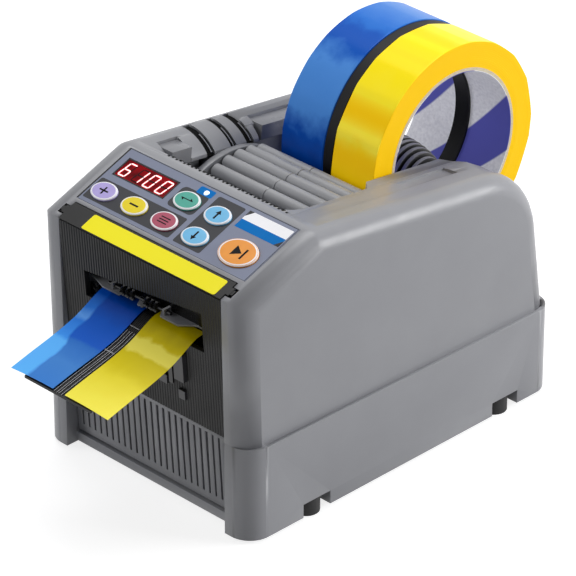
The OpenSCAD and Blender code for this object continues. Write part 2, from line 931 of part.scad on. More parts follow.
// Plates that stand on the tabs and hold the star wheels' shaft
module press_bar() {
    place() color([0.62, 0.63, 0.65])
        difference() {
            union() {
                translate([0, 4, 90.5])
                    rotate([12, 0, 0])
                        linear_extrude(height = 1)
                            for (tab = press_tabs)
                                polygon(tab);
                box(-45.5, 45.5, 9, 10.4, 91, 96.4);
                for (x = [-45.5, 43.5])
                    box(x, x + 2, 9, 14.4, 84, 91);
                for (x = [-23, 9.6])
                    box(x, x + 1.4, star_y - 1.6, 9.2, 91, 94.9);
            }
            rod_x(-6, star_y, star_z, 0.85, 40);
        }
}

module star(x) {
    pts = [for (i = [0:23]) let(r = i % 2 == 0 ? 2.6 : 1.5) [r * cos(i * 15), r * sin(i * 15)]];
    translate([x - 0.7, star_y, star_z])
        rotate([90, 0, 90])
            linear_extrude(height = 1.4)
                polygon(pts);
}

module star_wheels() {
    place() color([0.05, 0.05, 0.06]) {
        rod_x(-6, star_y, star_z, 0.8, 39);
        for (x = [-15.9, -13, -10, -1, 2, 4.6])
            star(x);
    }
}

module fixed_blade() {
    place() color([0.8, 0.81, 0.83])
        slab_x(-45.5, 45.5)
            polygon([[14.4, 62], [16, 62], [16, 86.4], [14.4, 88.2]]);
}

module moving_blade() {
    place() color([0.8, 0.81, 0.83]) {
        translate([0, 14.1, 0])
            rotate([90, 0, 0])
                linear_extrude(height = 1.5)
                    polygon([[-40, 108], [-40, 92.8], [40, 90.9], [40, 108]]);
        box(-49.5, -40, 12.6, 14.1, 98, 108);
        // toothed rack
        slab_x(-49.5, -46.7)
            polygon(concat([[12.6, 116], [12.6, 98]],
                [for (i = [0:6]) for (k = [[0, 17.2], [0.4, 18.7], [1.1, 18.7], [1.5, 17.2]])
                    [k[1], 98.3 + i * tooth * PI + k[0]]],
                [[17.2, 116]]));
    }
}

module blade_pinion() {
    place() color([0.8, 0.7, 0.4]) {
        gear_x(-48.1, cutter_y, cutter_z, 14, 2.8, 0, 1.6);
        rod_x(-45, cutter_y, cutter_z, 1.5, 3.4);
    }
}

module cutter_motor() {
    place() color([0.6, 0.6, 0.62])
        difference() {
            union() {
                rod_x(-31.4, cutter_y, cutter_z, 6.1, 24);
                rod_x(-44.2, cutter_y, cutter_z, 2.6, 1.6);
            }
            rod_x(-44.1, cutter_y, cutter_z, 1.6, 2.2);
        }
}

module main_board() {
    place() color([0.1, 0.35, 0.2]) {
        box(-34, 34, 60, 150, 9, 10.6);
        for (x = [-30, 30])
            for (y = [64, 146])
                translate([x, y, 2.6])
                    cylinder(h = 6.4, r = 2.5, $fn = 32);
    }
    place() color([0.1, 0.1, 0.1]) {
        box(-12, 6, 90, 108, 10.6, 13);
        translate([20, 120, 10.6])
            cylinder(h = 14, r = 6, $fn = 40);
    }
}

module power_inlet() {
    place() color([0.05, 0.05, 0.06])
        difference() {
            union() {
                box(inlet_x - 7.7, inlet_x + 7.7, 186, 198.6, socket_z - 6.7, socket_z + 6.7);
                box(inlet_x - 9.5, inlet_x + 9.5, 198, 199.2, socket_z - 8.5, socket_z + 8.5);
            }
            for (bore = [[3.6, 20], [4.4, 10]])
                translate([inlet_x, 210, socket_z])
                    rotate([90, 0, 0])
                        cylinder(h = bore[1], r = bore[0], $fn = 40);
        }
    place() color([0.8, 0.8, 0.8])
        translate([inlet_x, 197, socket_z])
            rotate([90, 0, 0])
                cylinder(h = 8, r = 1.1, $fn = 24);
}

// A rocker on two pins
module power_rocker() {
    place() color([0.05, 0.05, 0.06])
        translate([rocker_x, rocker_y, socket_z]) {
            slab_x(-7, 7)
                polygon([[-5, -4.4], [2.6, -5.6], [1.8, 0], [3.6, 5.6], [-4, 4.4]]);
            rod_x(0, 0, 0, 1, 14.8);
        }
}

module rubber_feet() {
    place() color([0.05, 0.05, 0.05])
        for (x = [-foot_x, foot_x])
            for (y = foot_ys)
                translate([x, y, -foot_h])
                    cylinder(h = foot_h + 6.8, r = foot_r, $fn = 48);
}

module case_screws() {
    place() color([0.7, 0.7, 0.7])
        for (x = [-screw_x, screw_x])
            for (y = screw_ys)
                translate([x, y, 0.1])
                    difference() {
                        union() {
                            cylinder(h = 1.5, r = 2.9, $fn = 40);
                            cylinder(h = 8, r = 1.45, $fn = 32);
                        }
                        box(-1.9, 1.9, -0.3, 0.3, -1, 0.7);
                        box(-0.3, 0.3, -1.9, 1.9, -1, 0.7);
                    }
}

upper_case();
base_tub();
front_grille();
panel_overlay();
display_module();
indicator_lamp();
bay_floor();
roller_cheeks();
axle_ledges();
cradle_roller_front();
cradle_roller_rear();
frame_plate_left();
frame_plate_right();
tie_bars();
press_bar();
star_wheels();
fixed_blade();
moving_blade();
blade_pinion();
cutter_motor();
feed_motor();
feed_pinion();
feed_roller();
feed_gear();
pinch_roller();
main_board();
panel_board();
power_inlet();
power_rocker();
outlet_sensor();
rubber_feet();
case_screws();
cover_shell();
cover_label();
tray();
strip_blue();
strip_yellow();
button_plus();
button_minus();
button_select();
button_mode();
button_up();
button_down();
button_start();
roll_blue();
core_blue();
roll_yellow();
core_yellow();
roll_spacer();
core_hub();
guide_roller_1();
guide_roller_2();
guide_roller_3();
guide_roller_4();
guide_roller_5();
guide_roller_6();
guide_roller_7();
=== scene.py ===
# %% [markdown]
# # Dressing an electric tape dispenser
# Every shell, roller, key and gear of the machine is already a solid in one shared frame. This
# script gives those solids their finish, and models the thin and soft things that they leave
# plain: printed film, digits, wound tape, curled strips and rounded edges. We load the frame.

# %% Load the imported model
import random
from math import atan, atan2, cos, pi, radians, sin, sqrt, tan, tau

import bmesh
import bpy
from mathutils import Matrix, Vector


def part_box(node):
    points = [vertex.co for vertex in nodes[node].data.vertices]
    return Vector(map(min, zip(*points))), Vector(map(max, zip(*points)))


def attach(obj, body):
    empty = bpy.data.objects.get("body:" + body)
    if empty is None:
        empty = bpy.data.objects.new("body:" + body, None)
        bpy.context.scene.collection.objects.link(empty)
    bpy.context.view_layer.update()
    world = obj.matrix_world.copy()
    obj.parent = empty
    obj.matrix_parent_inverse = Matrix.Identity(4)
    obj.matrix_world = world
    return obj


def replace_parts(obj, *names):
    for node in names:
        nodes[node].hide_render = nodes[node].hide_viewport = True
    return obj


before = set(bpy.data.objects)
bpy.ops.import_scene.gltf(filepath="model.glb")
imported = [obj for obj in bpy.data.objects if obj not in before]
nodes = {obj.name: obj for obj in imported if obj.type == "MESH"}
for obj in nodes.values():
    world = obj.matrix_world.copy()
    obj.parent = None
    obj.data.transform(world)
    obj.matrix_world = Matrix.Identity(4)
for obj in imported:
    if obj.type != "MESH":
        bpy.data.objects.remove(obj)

MM = 0.001
scene = bpy.context.scene
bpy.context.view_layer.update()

# %% [markdown]
# ## Landmarks
# Things on the sloping panel are easiest to place in its own directions: u to the right, v up
# the slope and w out of it, from a fold line at the front. Reading that line off the overlay's
# own box keeps this script in step with the solids.

# %% Landmarks of the slope and of the rolls
SLOPE = radians(20.3)
PANEL_V = 13.4 * MM        # from the fold line up the slope to the panel
PANEL_THICK = 0.5 * MM

panel_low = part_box("panel_overlay")[0]
FOLD_Y = panel_low.y - PANEL_V * cos(SLOPE)
FOLD_Z = panel_low.z - PANEL_V * sin(SLOPE) + PANEL_THICK * cos(SLOPE)

roll_low, roll_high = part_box("roll_yellow")
ROLL_Y = (roll_low.y + roll_high.y) / 2
ROLL_Z = (roll_low.z + roll_high.z) / 2
ROLL_R = (roll_high.z - roll_low.z) / 2
core_low, core_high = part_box("core_yellow")
CORE_R = (core_high.z - core_low.z) / 2


def on_slope(u, v, w):
    """Places a shape drawn in (u, v, w) on the sloping panel."""
    return (Matrix.Translation((0, FOLD_Y, FOLD_Z)) @ Matrix.Rotation(SLOPE, 4, "X")
            @ Matrix.Translation((u, v, w)))


print("fold line at y, z mm:", round(FOLD_Y / MM, 2), round(FOLD_Z / MM, 2))
print("roll and core radius, mm:", round(ROLL_R / MM, 1), round(CORE_R / MM, 1))

# %% [markdown]
# ## Camera
# A product picture like this is taken from far away with a long lens, so that upright edges stay
# upright. A direction, a distance and a focal length set the view. Building the camera's matrix
# from its right, up and back directions avoids the surprises of Euler angles.

# %% Camera
VIEW_AZIMUTH = radians(45.01)
VIEW_ELEVATION = radians(29.65)
VIEW_ROLL = radians(0.14)
VIEW_DISTANCE = 1900.5 * MM
VIEW_TARGET = Vector((14.15, -8.23, 80.08)) * MM
LENS_MM = 267.5

back = Vector((cos(VIEW_ELEVATION) * sin(VIEW_AZIMUTH),
               -cos(VIEW_ELEVATION) * cos(VIEW_AZIMUTH),
               sin(VIEW_ELEVATION)))
right = Matrix.Rotation(VIEW_ROLL, 3, back) @ Vector((cos(VIEW_AZIMUTH), sin(VIEW_AZIMUTH), 0))
up = back.cross(right)


def add_object(name, data):
    """A new object in the scene."""
    made = bpy.data.objects.new(name, data)
    scene.collection.objects.link(made)
    return made


camera_data = bpy.data.cameras.new("camera")
camera_data.lens = LENS_MM
camera_data.sensor_width = 36
camera_data.clip_start = 0.05
camera_data.clip_end = 50
camera = add_object("camera", camera_data)
camera.matrix_world = (Matrix.Translation(VIEW_TARGET + back * VIEW_DISTANCE)
                       @ Matrix((right, up, back)).transposed().to_4x4())
scene.camera = camera
print("camera at", [round(value, 3) for value in camera.matrix_world.translation])

# %% [markdown]
# ## Colours and small shader helpers
# Colours are written as the 0 to 255 numbers seen on a screen and turned into the linear values
# that a shader expects. Each other helper adds one idea to a material: a noise of a stated size,
# a mix of two colours, a spread of roughness, a bump. So a material reads like a recipe.

# %% Colours
def srgb(red, green, blue):
    """A screen colour, 0 to 255, as linear RGBA."""
    def linear(value):
        value /= 255
        return value / 12.92 if value <= 0.04045 else ((value + 0.055) / 1.055) ** 2.4
    return (linear(red), linear(green), linear(blue), 1.0)


def shade(colour, amount):
    """The same colour, lighter (above 1) or darker (below 1)."""
    return tuple(min(1.0, channel * amount) for channel in colour[:3]) + (1.0,)


print("a screen grey of 128 is", round(srgb(128, 128, 128)[0], 3), "in linear light")


# %% Nodes and new materials
def set_input(node, name, value):
    """Gives an input, by name or number, its value, or a link when the value is a socket."""
    if isinstance(value, bpy.types.NodeSocket):
        node.id_data.links.new(value, node.inputs[name])
    else:
        node.inputs[name].default_value = value


def set_inputs(node, **inputs):
    """Gives inputs by name, with _ for a space, and hands the node back."""
    for name, value in inputs.items():
        set_input(node, name.replace("_", " "), value)
    return node


def add_node(tree, kind, **inputs):
    """A new node with these inputs."""
    return set_inputs(tree.nodes.new("ShaderNode" + kind), **inputs)


def new_material(name, roughness=0.5, **inputs):
    """A material and its Principled shader, with uniform values on the shader's own sockets."""
    material = bpy.data.materials.new(name)
    material.use_nodes = True
    tree = material.node_tree
    return material, tree, set_inputs(tree.nodes["Principled BSDF"], Roughness=roughness, **inputs)


# %% Places and patterns in a material
def object_coordinates(tree, scale=(1, 1, 1)):
    """Object coordinates, scaled."""
    source = add_node(tree, "TexCoord")
    return add_node(tree, "Mapping", Vector=source.outputs["Object"], Scale=scale).outputs["Vector"]


def place_parts(tree):
    """The x, y and z of the object coordinates, in metres."""
    return add_node(tree, "SeparateXYZ", Vector=object_coordinates(tree)).outputs


def noise(tree, size, detail, stretch=(1, 1, 1)):
    """A noise with blotches about size metres across; stretch makes them longer one way."""
    place = object_coordinates(tree, [1 / (size * factor) for factor in stretch])
    return add_node(tree, "TexNoise", Vector=place, Scale=1, Detail=detail).outputs["Fac"]


# %% Numbers and colours in a material
MIX_A, MIX_B, MIX_RESULT = 6, 7, 2        # the colour sockets of a Mix node


def calculate(tree, operation, *values):
    """One Math node; its values may be numbers or sockets."""
    node = add_node(tree, "Math")
    node.operation = operation
    for slot, value in enumerate(values):
        set_input(node, slot, value)
    return node.outputs[0]


def spread(tree, value, low, high, from_low=0.3, from_high=0.7):
    """Maps a value, such as a noise, onto a range of numbers."""
    return add_node(tree, "MapRange", Value=value, From_Min=from_low, From_Max=from_high,
                    To_Min=low, To_Max=high).outputs["Result"]


def two_tone(tree, factor, first, second):
    """Mixes two colours; a factor of 0 gives the first. A colour may be another socket."""
    node = add_node(tree, "Mix", Factor=factor)
    node.data_type = "RGBA"
    set_input(node, MIX_A, first)
    set_input(node, MIX_B, second)
    return node.outputs[MIX_RESULT]


def blotched(tree, size, detail, first, second):
    """Two colours that blend in blotches about size metres across."""
    return two_tone(tree, spread(tree, noise(tree, size, detail), 0, 1), first, second)


def bands(tree, value, stops):
    """Colours laid along a value from 0 to 1; stops are (place, screen colour) pairs."""
    node = add_node(tree, "ValToRGB", Fac=value)
    ramp = node.color_ramp
    while len(ramp.elements) < len(stops):
        ramp.elements.new(0.5)
    for element, (place, colour) in zip(ramp.elements, sorted(stops)):
        element.position = place
        element.color = srgb(*colour)
    return node.outputs["Color"]


# %% Surface relief and moulded plastic
def add_bump(tree, shader, height, distance):
    """Raises the surface by up to distance metres where height is 1."""
    bump = add_node(tree, "Bump", Height=height, Distance=distance, Strength=1.0)
    set_input(shader, "Normal", bump.outputs["Normal"])


def moulded(name, colour, roughness, grain, depth, mottle, specular=0.5, glow=0.0):
    """Moulded plastic: fine grain (its size and depth in mm), faint mottling and uneven gloss; glow adds a
    painted glow in its own colour.
    """
    own = srgb(*colour)
    light = {"Emission_Color": own, "Emission_Strength": glow} if glow else {}
    material, tree, shader = new_material(name, roughness, Specular_IOR_Level=specular, **light)
    base = blotched(tree, 28 * MM, 3, shade(own, 1 - mottle), shade(own, 1 + mottle))
    gloss = spread(tree, noise(tree, 9 * MM, 3), roughness - 0.05, roughness + 0.05)
    set_inputs(shader, Base_Color=base, Roughness=gloss)
    add_bump(tree, shader, noise(tree, grain * MM, 2), depth * MM)
    return material


# %% [markdown]
# ## Room and light
# The machine stands on a pale sweep. A really white floor would throw so much light back up
# that the rounded corners lost their shading, so the paper is a middle grey with a glow that
# only the camera and reflections see: the shadow stays soft and the open floor turns white. The
# column that faces the camera lies between the side lamps and turns dark, as in the picture.

# %% Floor
FLOOR_SIZE = 12.0
FLOOR_GLOW = 0.78


def seen_directly(tree):
    """1 for what the camera sees, also in a mirror or through glass, and 0 for stray light."""
    rays = add_node(tree, "LightPath").outputs
    seen = calculate(tree, "MAXIMUM", rays["Is Camera Ray"], rays["Is Glossy Ray"])
    return calculate(tree, "MAXIMUM", seen, rays["Is Transmission Ray"])


def sweep_paper():
    """Grey paper that glows white only for the camera and in reflections."""
    material, tree, shader = new_material("sweep_paper", 0.9, Specular_IOR_Level=0.0,
                                          Emission_Color=(1, 1, 1, 1))
    paper = blotched(tree, 60 * MM, 2, (0.50, 0.50, 0.505, 1), (0.52, 0.52, 0.525, 1))
    glow = calculate(tree, "MULTIPLY", seen_directly(tree), FLOOR_GLOW)
    set_inputs(shader, Base_Color=paper, Emission_Strength=glow)
    return material


def mesh_object(name, shape, material):
    """An object made of a bmesh, which is used up."""
    mesh = bpy.data.meshes.new(name)
    shape.to_mesh(mesh)
    shape.free()
    mesh.materials.append(material)
    return add_object(name, mesh)


sweep = bmesh.new()
bmesh.ops.create_grid(sweep, x_segments=8, y_segments=8, size=FLOOR_SIZE / 2)
mesh_object("floor", sweep, sweep_paper())
print("floor, m:", FLOOR_SIZE)

# %% Surroundings and lamps
SURROUND_LIGHT = 0.14
AIM = (0, 0, 0.08)

world = bpy.data.worlds.new("studio")
world.use_nodes = True
scene.world = world
level = calculate(world.node_tree, "MAXIMUM", seen_directly(world.node_tree), SURROUND_LIGHT)
set_inputs(world.node_tree.nodes["Background"], Color=(1, 1, 1, 1), Strength=level)
bpy.context.scene.view_settings.view_transform = "Standard"


def soft_lamp(name, place, size, power):
    """A rectangular lamp of size metres and power watts, turned to the machine."""
    data = bpy.data.lights.new(name, "AREA")
    data.shape = "RECTANGLE"
    data.size, data.size_y = size
    data.energy = power
    lamp = add_object(name, data)
    turn = (Vector(AIM) - Vector(place)).to_track_quat("-Z", "Y")
    lamp.matrix_world = Matrix.Translation(place) @ turn.to_matrix().to_4x4()
    print(name, power, "W")
    return lamp


soft_lamp("lamp_above", (-0.30, 0.35, 1.6), (1.1, 0.9), 14.5)
soft_lamp("lamp_behind_right", (1.22, 1.10, 0.70), (0.9, 0.8), 22)
fill = soft_lamp("lamp_front_left", (-1.15, -1.25, 0.75), (0.8, 0.8), 8.5)
fill.visible_glossy = False

# %% [markdown]
# ## Helpers that shape and finish new pieces
# Each piece is drawn as a bmesh, moved to its place in the mesh itself, and handed to a helper
# that smooths everything flatter than a given angle and ties the piece to the body it moves
# with. Spun lines and thin plates come back most often, so each has a helper of its own.


# %% Finish a piece, dress a solid
def finish_piece(name, shape, material, body, slot, smooth, normals=True):
    """Makes an object that rides on a body; faces that meet under smooth degrees look round."""
    if normals:
        bmesh.ops.recalc_face_normals(shape, faces=shape.faces)
    piece = mesh_object(name, shape, material)
    piece.data.shade_smooth()
    piece.data.set_sharp_from_angle(angle=radians(smooth))
    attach(piece, body)
    print(name, "on", body + ":", len(piece.data.polygons), "faces")
    return piece


def dress(material, *names):
    """Gives CAD nodes a finish."""
    for name in names:
        for slot in nodes[name].material_slots:
            slot.material = material
    print(material.name, "on", ", ".join(names))


# %% Shapes that come back often
def spun(corners, closed, centre, axis, steps):
    """Spins a line of corners once round an axis; closed joins the ends of the line first."""
    shape = bmesh.new()
    points = [shape.verts.new(corner) for corner in corners]
    edges = [shape.edges.new(pair) for pair in zip(points, points[1:] + points[:closed])]
    bmesh.ops.spin(shape, geom=points + edges, cent=centre, axis=axis, angle=tau,
                   steps=steps, use_merge=True)
    return shape


def flat_shape(outline, thickness, corner=0.0):
    """A thin plate from an outline in mm, its corners rounded, from -thickness / 2 to + / 2."""
    shape = bmesh.new()
    shape.faces.new([shape.verts.new((x * MM, y * MM, 0)) for x, y in outline])
    if corner:
        bmesh.ops.bevel(shape, geom=list(shape.verts), offset=corner * MM, offset_type="OFFSET",
                        segments=5, profile=0.5, affect="VERTICES", clamp_overlap=True, material=-1)
    raised = bmesh.ops.extrude_face_region(shape, geom=list(shape.faces))
    top = [item for item in raised["geom"] if isinstance(item, bmesh.types.BMVert)]
    bmesh.ops.translate(shape, verts=shape.verts, vec=(0, 0, -thickness / 2))
    bmesh.ops.translate(shape, verts=top, vec=(0, 0, thickness))
    return shape


def rectangle(x0, x1, y0, y1):
    """The outline of a rectangle."""
    return [(x0, y0), (x1, y0), (x1, y1), (x0, y1)]


def moved(shape, matrix):
    """The same shape in another place."""
    bmesh.ops.transform(shape, matrix=matrix, verts=shape.verts)
    return shape


def join(first, second):
    """Adds a second bmesh to the first one."""
    spare = bpy.data.meshes.new("spare")
    second.to_mesh(spare)
    second.free()
    first.from_mesh(spare)
    bpy.data.meshes.remove(spare)


# %% [markdown]
# ## Grey case
# The real shells are moulded in satin mid-grey plastic with softly rounded edges. The CAD shells
# have the right shape, but their triangles are loose and every edge is knife sharp. A welded
# copy can be smoothed, and a small bevel on its long sharp edges makes it catch the light as a
# moulded part does. The bevel is a bmesh operator, so it ends up in the mesh.

# %% Grey plastics
case_grey = moulded("case_grey", (147, 148, 153), 0.36, 0.45, 0.010, 0.03)
# The grille's and the bay's greys are darker copies of the case grey: painted shade on the recessed grille
# and inside the bay.
shaded_grille_grey = moulded("shaded_grille_grey", (132, 133, 138), 0.42, 0.45, 0.010, 0.03)
shaded_inner_grey = moulded("shaded_inner_grey", (134, 135, 140), 0.30, 0.6, 0.008, 0.05)
press_grey = moulded("press_grey", (124, 125, 129), 0.32, 0.6, 0.008, 0.06)
roller_plastic = moulded("roller_plastic", (158, 159, 163), 0.34, 2.5, 0.012, 0.04)
print("five greys, last", roller_plastic.name)

# %% Rounded shells
SHARP_FROM = radians(38)
SHARP_TO = radians(140)
FLAT_BELOW = radians(0.4)


def rounded_shell(node, name, material, slot, radius, shortest=3.0):
    """A welded copy of a shell with its long sharp edges rounded; it replaces the node."""
    shape = bmesh.new()
    shape.from_mesh(nodes[node].data)
    bmesh.ops.remove_doubles(shape, verts=shape.verts, dist=0.002 * MM)
    bmesh.ops.dissolve_limit(shape, angle_limit=FLAT_BELOW, verts=shape.verts, edges=shape.edges)
    sharp = [edge for edge in shape.edges
             if len(edge.link_faces) == 2 and edge.calc_length() > shortest * MM
             and SHARP_FROM < edge.calc_face_angle(0) < SHARP_TO]
    bmesh.ops.bevel(shape, geom=sharp, offset=radius * MM, offset_type="OFFSET", segments=2,
                    profile=0.5, affect="EDGES", clamp_overlap=True, material=-1, miter_outer="ARC")
    bmesh.ops.triangulate(shape, faces=[face for face in shape.faces if len(face.verts) > 4])
    print(node, "rounded edges:", len(sharp))
    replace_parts(finish_piece(name, shape, material, "case", slot, 40, normals=False), node)


rounded_shell("upper_case", "case_skin", case_grey, "case_plastic", 0.35)
rounded_shell("base_tub", "base_skin", case_grey, "case_plastic", 0.35)
rounded_shell("front_grille", "grille_skin", shaded_grille_grey, "case_plastic", 0.2)
rounded_shell("roller_cheeks", "cheeks_skin", shaded_inner_grey, "inner_plastic", 0.2, 1.5)
rounded_shell("axle_ledges", "ledges_skin", shaded_inner_grey, "inner_plastic", 0.2, 1.5)
rounded_shell("press_bar", "press_bar_skin", press_grey, "inner_plastic", 0.15, 1.5)

# %% [markdown]
# ## Rollers, hub and bay
# The guide rollers are smooth plastic sleeves, and their solids are true turned shapes. A faint coarse grain
# is all they need to break up the reflections. The hub's grooves are cut in its solid too, yet so narrow
# that they only read as dark lines, so its finish paints them near black as painted shade.

# %% Ringed hub
HUB_HALF = 29 * MM
HUB_RINGS = 18
HUB_PITCH = 2 * HUB_HALF / HUB_RINGS
GROOVE_MIDDLE = 0.35 * MM

hub_grey, tree, shader = new_material("hub_grey", 0.42)
x = place_parts(tree)[0]
from_groove = calculate(tree, "ADD", x, HUB_HALF - GROOVE_MIDDLE)
wave = calculate(tree, "PINGPONG", calculate(tree, "DIVIDE", from_groove, HUB_PITCH), 0.5)
on_axle = spread(tree, calculate(tree, "ABSOLUTE", x), 0, 1, HUB_HALF, HUB_HALF + 0.1 * MM)
on_rib = calculate(tree, "MAXIMUM", spread(tree, wave, 0, 1, 0.19, 0.22), on_axle)
rib_tone = blotched(tree, 5 * MM, 3, srgb(140, 140, 144), srgb(160, 160, 164))
# Near black in the grooves is painted shade; the ribs keep the hub's own grey.
set_input(shader, "Base Color", two_tone(tree, on_rib, srgb(16, 16, 17), rib_tone))
add_bump(tree, shader, noise(tree, 0.5 * MM, 2), 0.01 * MM)
dress(hub_grey, "core_hub")

# %% Finishes of the bay
rubber_grey, tree, shader = new_material("rubber_grey", 0.62)
set_input(shader, "Base Color", blotched(tree, 4 * MM, 3, srgb(58, 58, 60), srgb(74, 74, 76)))
add_bump(tree, shader, noise(tree, 0.4 * MM, 3), 0.03 * MM)
dress(rubber_grey, "cradle_roller_front", "cradle_roller_rear", "feed_roller", "pinch_roller")
dress(moulded("spacer_black", (7, 7, 9), 0.5, 0.5, 0.01, 0.1, 0.25), "roll_spacer")
dress(moulded("sensor_grey", (62, 62, 66), 0.35, 0.6, 0.008, 0.06), "outlet_sensor")
dress(roller_plastic, *[f"guide_roller_{number}" for number in range(1, 8)])
dress(shaded_inner_grey, "bay_floor", "roller_cheeks", "axle_ledges")
dress(press_grey, "press_bar")
dress(case_grey, "upper_case", "base_tub", "front_grille")

# %% [markdown]
# ## Printed panel
# The overlay is one polyester sheet with its colours printed underneath. Each printed patch is
# a very thin plate, mostly sunk in the sheet and a few hundredths of a millimetre out of it, so
# that it shows from any side without flickering. One helper places them all, from a list of
# edges, ink, corner and layer.

# %% Overlay and printing inks
dress(moulded("overlay_grey", (122, 129, 152), 0.42, 0.35, 0.006, 0.03), "panel_overlay")
ink_charcoal = moulded("ink_charcoal", (47, 48, 53), 0.45, 0.35, 0.005, 0.05, 0.3)
ink_black = moulded("ink_black", (12, 12, 14), 0.45, 0.35, 0.004, 0.05, 0.3)
# The white and blue inks glow a little: painted light that keeps them bright in shade.
ink_white = moulded("ink_white", (240, 240, 244), 0.45, 0.35, 0.004, 0.02, glow=0.15)
ink_blue = moulded("ink_blue", (0, 112, 190), 0.5, 0.35, 0.004, 0.05, 0.1, glow=0.10)

PRINT_THICK = 0.2 * MM
INK_RISE = 0.02 * MM


def print_patch(name, outline, material, corner, layer):
    """A printed patch on the overlay; a higher layer lies over a lower one."""
    place = on_slope(0, 0, INK_RISE * (1 + layer) - PRINT_THICK / 2)
    shape = moved(flat_shape(outline, PRINT_THICK, corner), place)
    finish_piece(name, shape, material, "case", "overlay", 20)


# %% Patches, window frame and plain sticker
PATCHES = (
    ("patch_left", (-51.2, 3.2, 15.3, 28.4), ink_charcoal, 1.0, 0),
    ("patch_mode", (-13.0, 3.2, 30.4, 43.2), ink_charcoal, 2.5, 0),
    ("patch_arrows", (6.0, 22.6, 15.3, 46.0), ink_charcoal, 1.0, 0),
    ("patch_lamp", (-5.8, 3.4, 42.6, 46.9), ink_blue, 0.8, 1),
    ("edge_left", (-52.8, -52.0, 13.5, 48.4), ink_black, 0, 0),
    ("edge_top", (-52.8, 52.6, 48.1, 48.4), ink_black, 0, 0),
    ("edge_right", (52.2, 52.5, 13.5, 48.4), ink_black, 0, 0),
    ("window_frame_bottom", (-48.7, -16.1, 31.9, 32.6), ink_black, 0, 1),
    ("window_frame_top", (-48.7, -16.1, 42.9, 43.6), ink_black, 0, 1),
    ("window_frame_left", (-48.7, -48.0, 31.9, 43.6), ink_black, 0, 1),
    ("window_frame_right", (-16.8, -16.1, 31.9, 43.6), ink_black, 0, 1),
    ("sticker_white", (24.8, 51.5, 40.8, 46.3), ink_white, 0, 1),
    ("sticker_blue", (24.8, 51.5, 35.8, 40.8), ink_blue, 0, 1),
)
for name, edges, ink, corner, layer in PATCHES:
    print_patch(name, rectangle(*edges), ink, corner, layer)
print_patch("sticker_corner_left", [(24.8, 42.6), (27.6, 46.3), (24.8, 46.3)], ink_black, 0, 2)
print_patch("sticker_corner_right", [(48.6, 35.8), (51.5, 35.8), (51.5, 39.6)], ink_black, 0, 2)

# %% [markdown]
# ## Keys
# A key is a white cap with a shallow dome, and a coloured disc printed on it that leaves a
# white ring. The cap is a spun profile of unit radius, scaled to the key's own oval, and the
# disc follows the same profile a hair above it, so one profile serves all seven keys. The
# symbols are thin plates near the top of the dome, so that they look printed.

# %% Keys: place, size, colour and slot
KEY_SIZE = (14.5, 10.5)
START_SIZE = (20.8, 15.6)
KEYS = {
    "plus": (-43.3, 21.9, KEY_SIZE, (188, 174, 234), "btn_lilac"),
    "minus": (-24.2, 22.0, KEY_SIZE, (250, 226, 34), "btn_yellow"),
    "select": (-5.1, 21.9, KEY_SIZE, (182, 82, 106), "btn_pink"),
    "mode": (-4.9, 36.3, KEY_SIZE, (82, 178, 160), "btn_green"),
    "up": (14.2, 36.4, KEY_SIZE, (122, 200, 246), "btn_sky"),
    "down": (14.1, 21.9, KEY_SIZE, (122, 200, 246), "btn_sky"),
    "start": (38.6, 24.2, START_SIZE, (255, 164, 66), "btn_orange"),
}
print("keys:", len(KEYS))

# %% Dome of a key
CAP_TOP = 1.0
DOME = 0.16
DOME_PROFILE = [(0.0, DOME), (0.35, DOME * 0.96), (0.65, DOME * 0.80), (0.85, DOME * 0.55),
                (0.93, DOME * 0.25), (0.965, -0.08), (0.99, -0.26), (1.0, -0.50), (1.0, -1.2)]


def dome_height(share):
    """The height of the dome at a share of its radius."""
    for (near, high), (far, low) in zip(DOME_PROFILE, DOME_PROFILE[1:]):
        if near <= share <= far:
            return high + (low - high) * (share - near) / (far - near)
    return DOME_PROFILE[-1][1]


def oval_cap(profile, u, v, width, height, lift):
    """A spun profile of unit radius, scaled to an oval and set on a key's place."""
    cap = spun([(share, 0, rise * MM) for share, rise in profile], False, (0, 0, 0), (0, 0, 1), 96)
    bmesh.ops.remove_doubles(cap, verts=cap.verts, dist=0.0005 * MM)
    bmesh.ops.scale(cap, vec=(width / 2 * MM, height / 2 * MM, 1), verts=cap.verts)
    return moved(cap, on_slope(u * MM, v * MM, (CAP_TOP + lift) * MM))


print("dome at half its radius, mm:", round(dome_height(0.5), 3))

# %% Key caps
RING_WIDTH = 0.95
START_RING = 1.2
CAP_PLAY = 0.04
PRINT_LIFT = 0.015


def key_film(name, colour):
    """Glossy printed film, uneven by a hair."""
    material, tree, shader = new_material(name, 0.36, Specular_IOR_Level=0.35)
    tone = blotched(tree, 5 * MM, 2, shade(srgb(*colour), 0.95), shade(srgb(*colour), 1.04))
    set_input(shader, "Base Color", tone)
    add_bump(tree, shader, noise(tree, 0.4 * MM, 2), 0.004 * MM)
    return material


# The white ring's glow is painted light that keeps it bright in shade.
ring_white = moulded("ring_white", (238, 238, 242), 0.4, 0.35, 0.003, 0.02, glow=0.12)
for key, (u, v, (width, height), colour, slot) in KEYS.items():
    film = key_film("film_" + key, colour)
    dress(film, "button_" + key)
    cap = oval_cap(DOME_PROFILE, u, v, width - CAP_PLAY, height - CAP_PLAY, 0)
    finish_piece("cap_" + key, cap, ring_white, "key_" + key, slot, 50)
    ring = START_RING if key == "start" else RING_WIDTH
    inner = 1 - 4 * ring / (width + height)        # the share of the oval inside the white ring
    shares = [inner * step / 8 for step in range(9)]
    disc = [(share / inner, dome_height(share)) for share in shares] + [(1.0, dome_height(inner) - 0.1)]
    colour_disc = oval_cap(disc, u, v, width * inner, height * inner, PRINT_LIFT)
    finish_piece("print_" + key, colour_disc, film, "key_" + key, slot, 50)


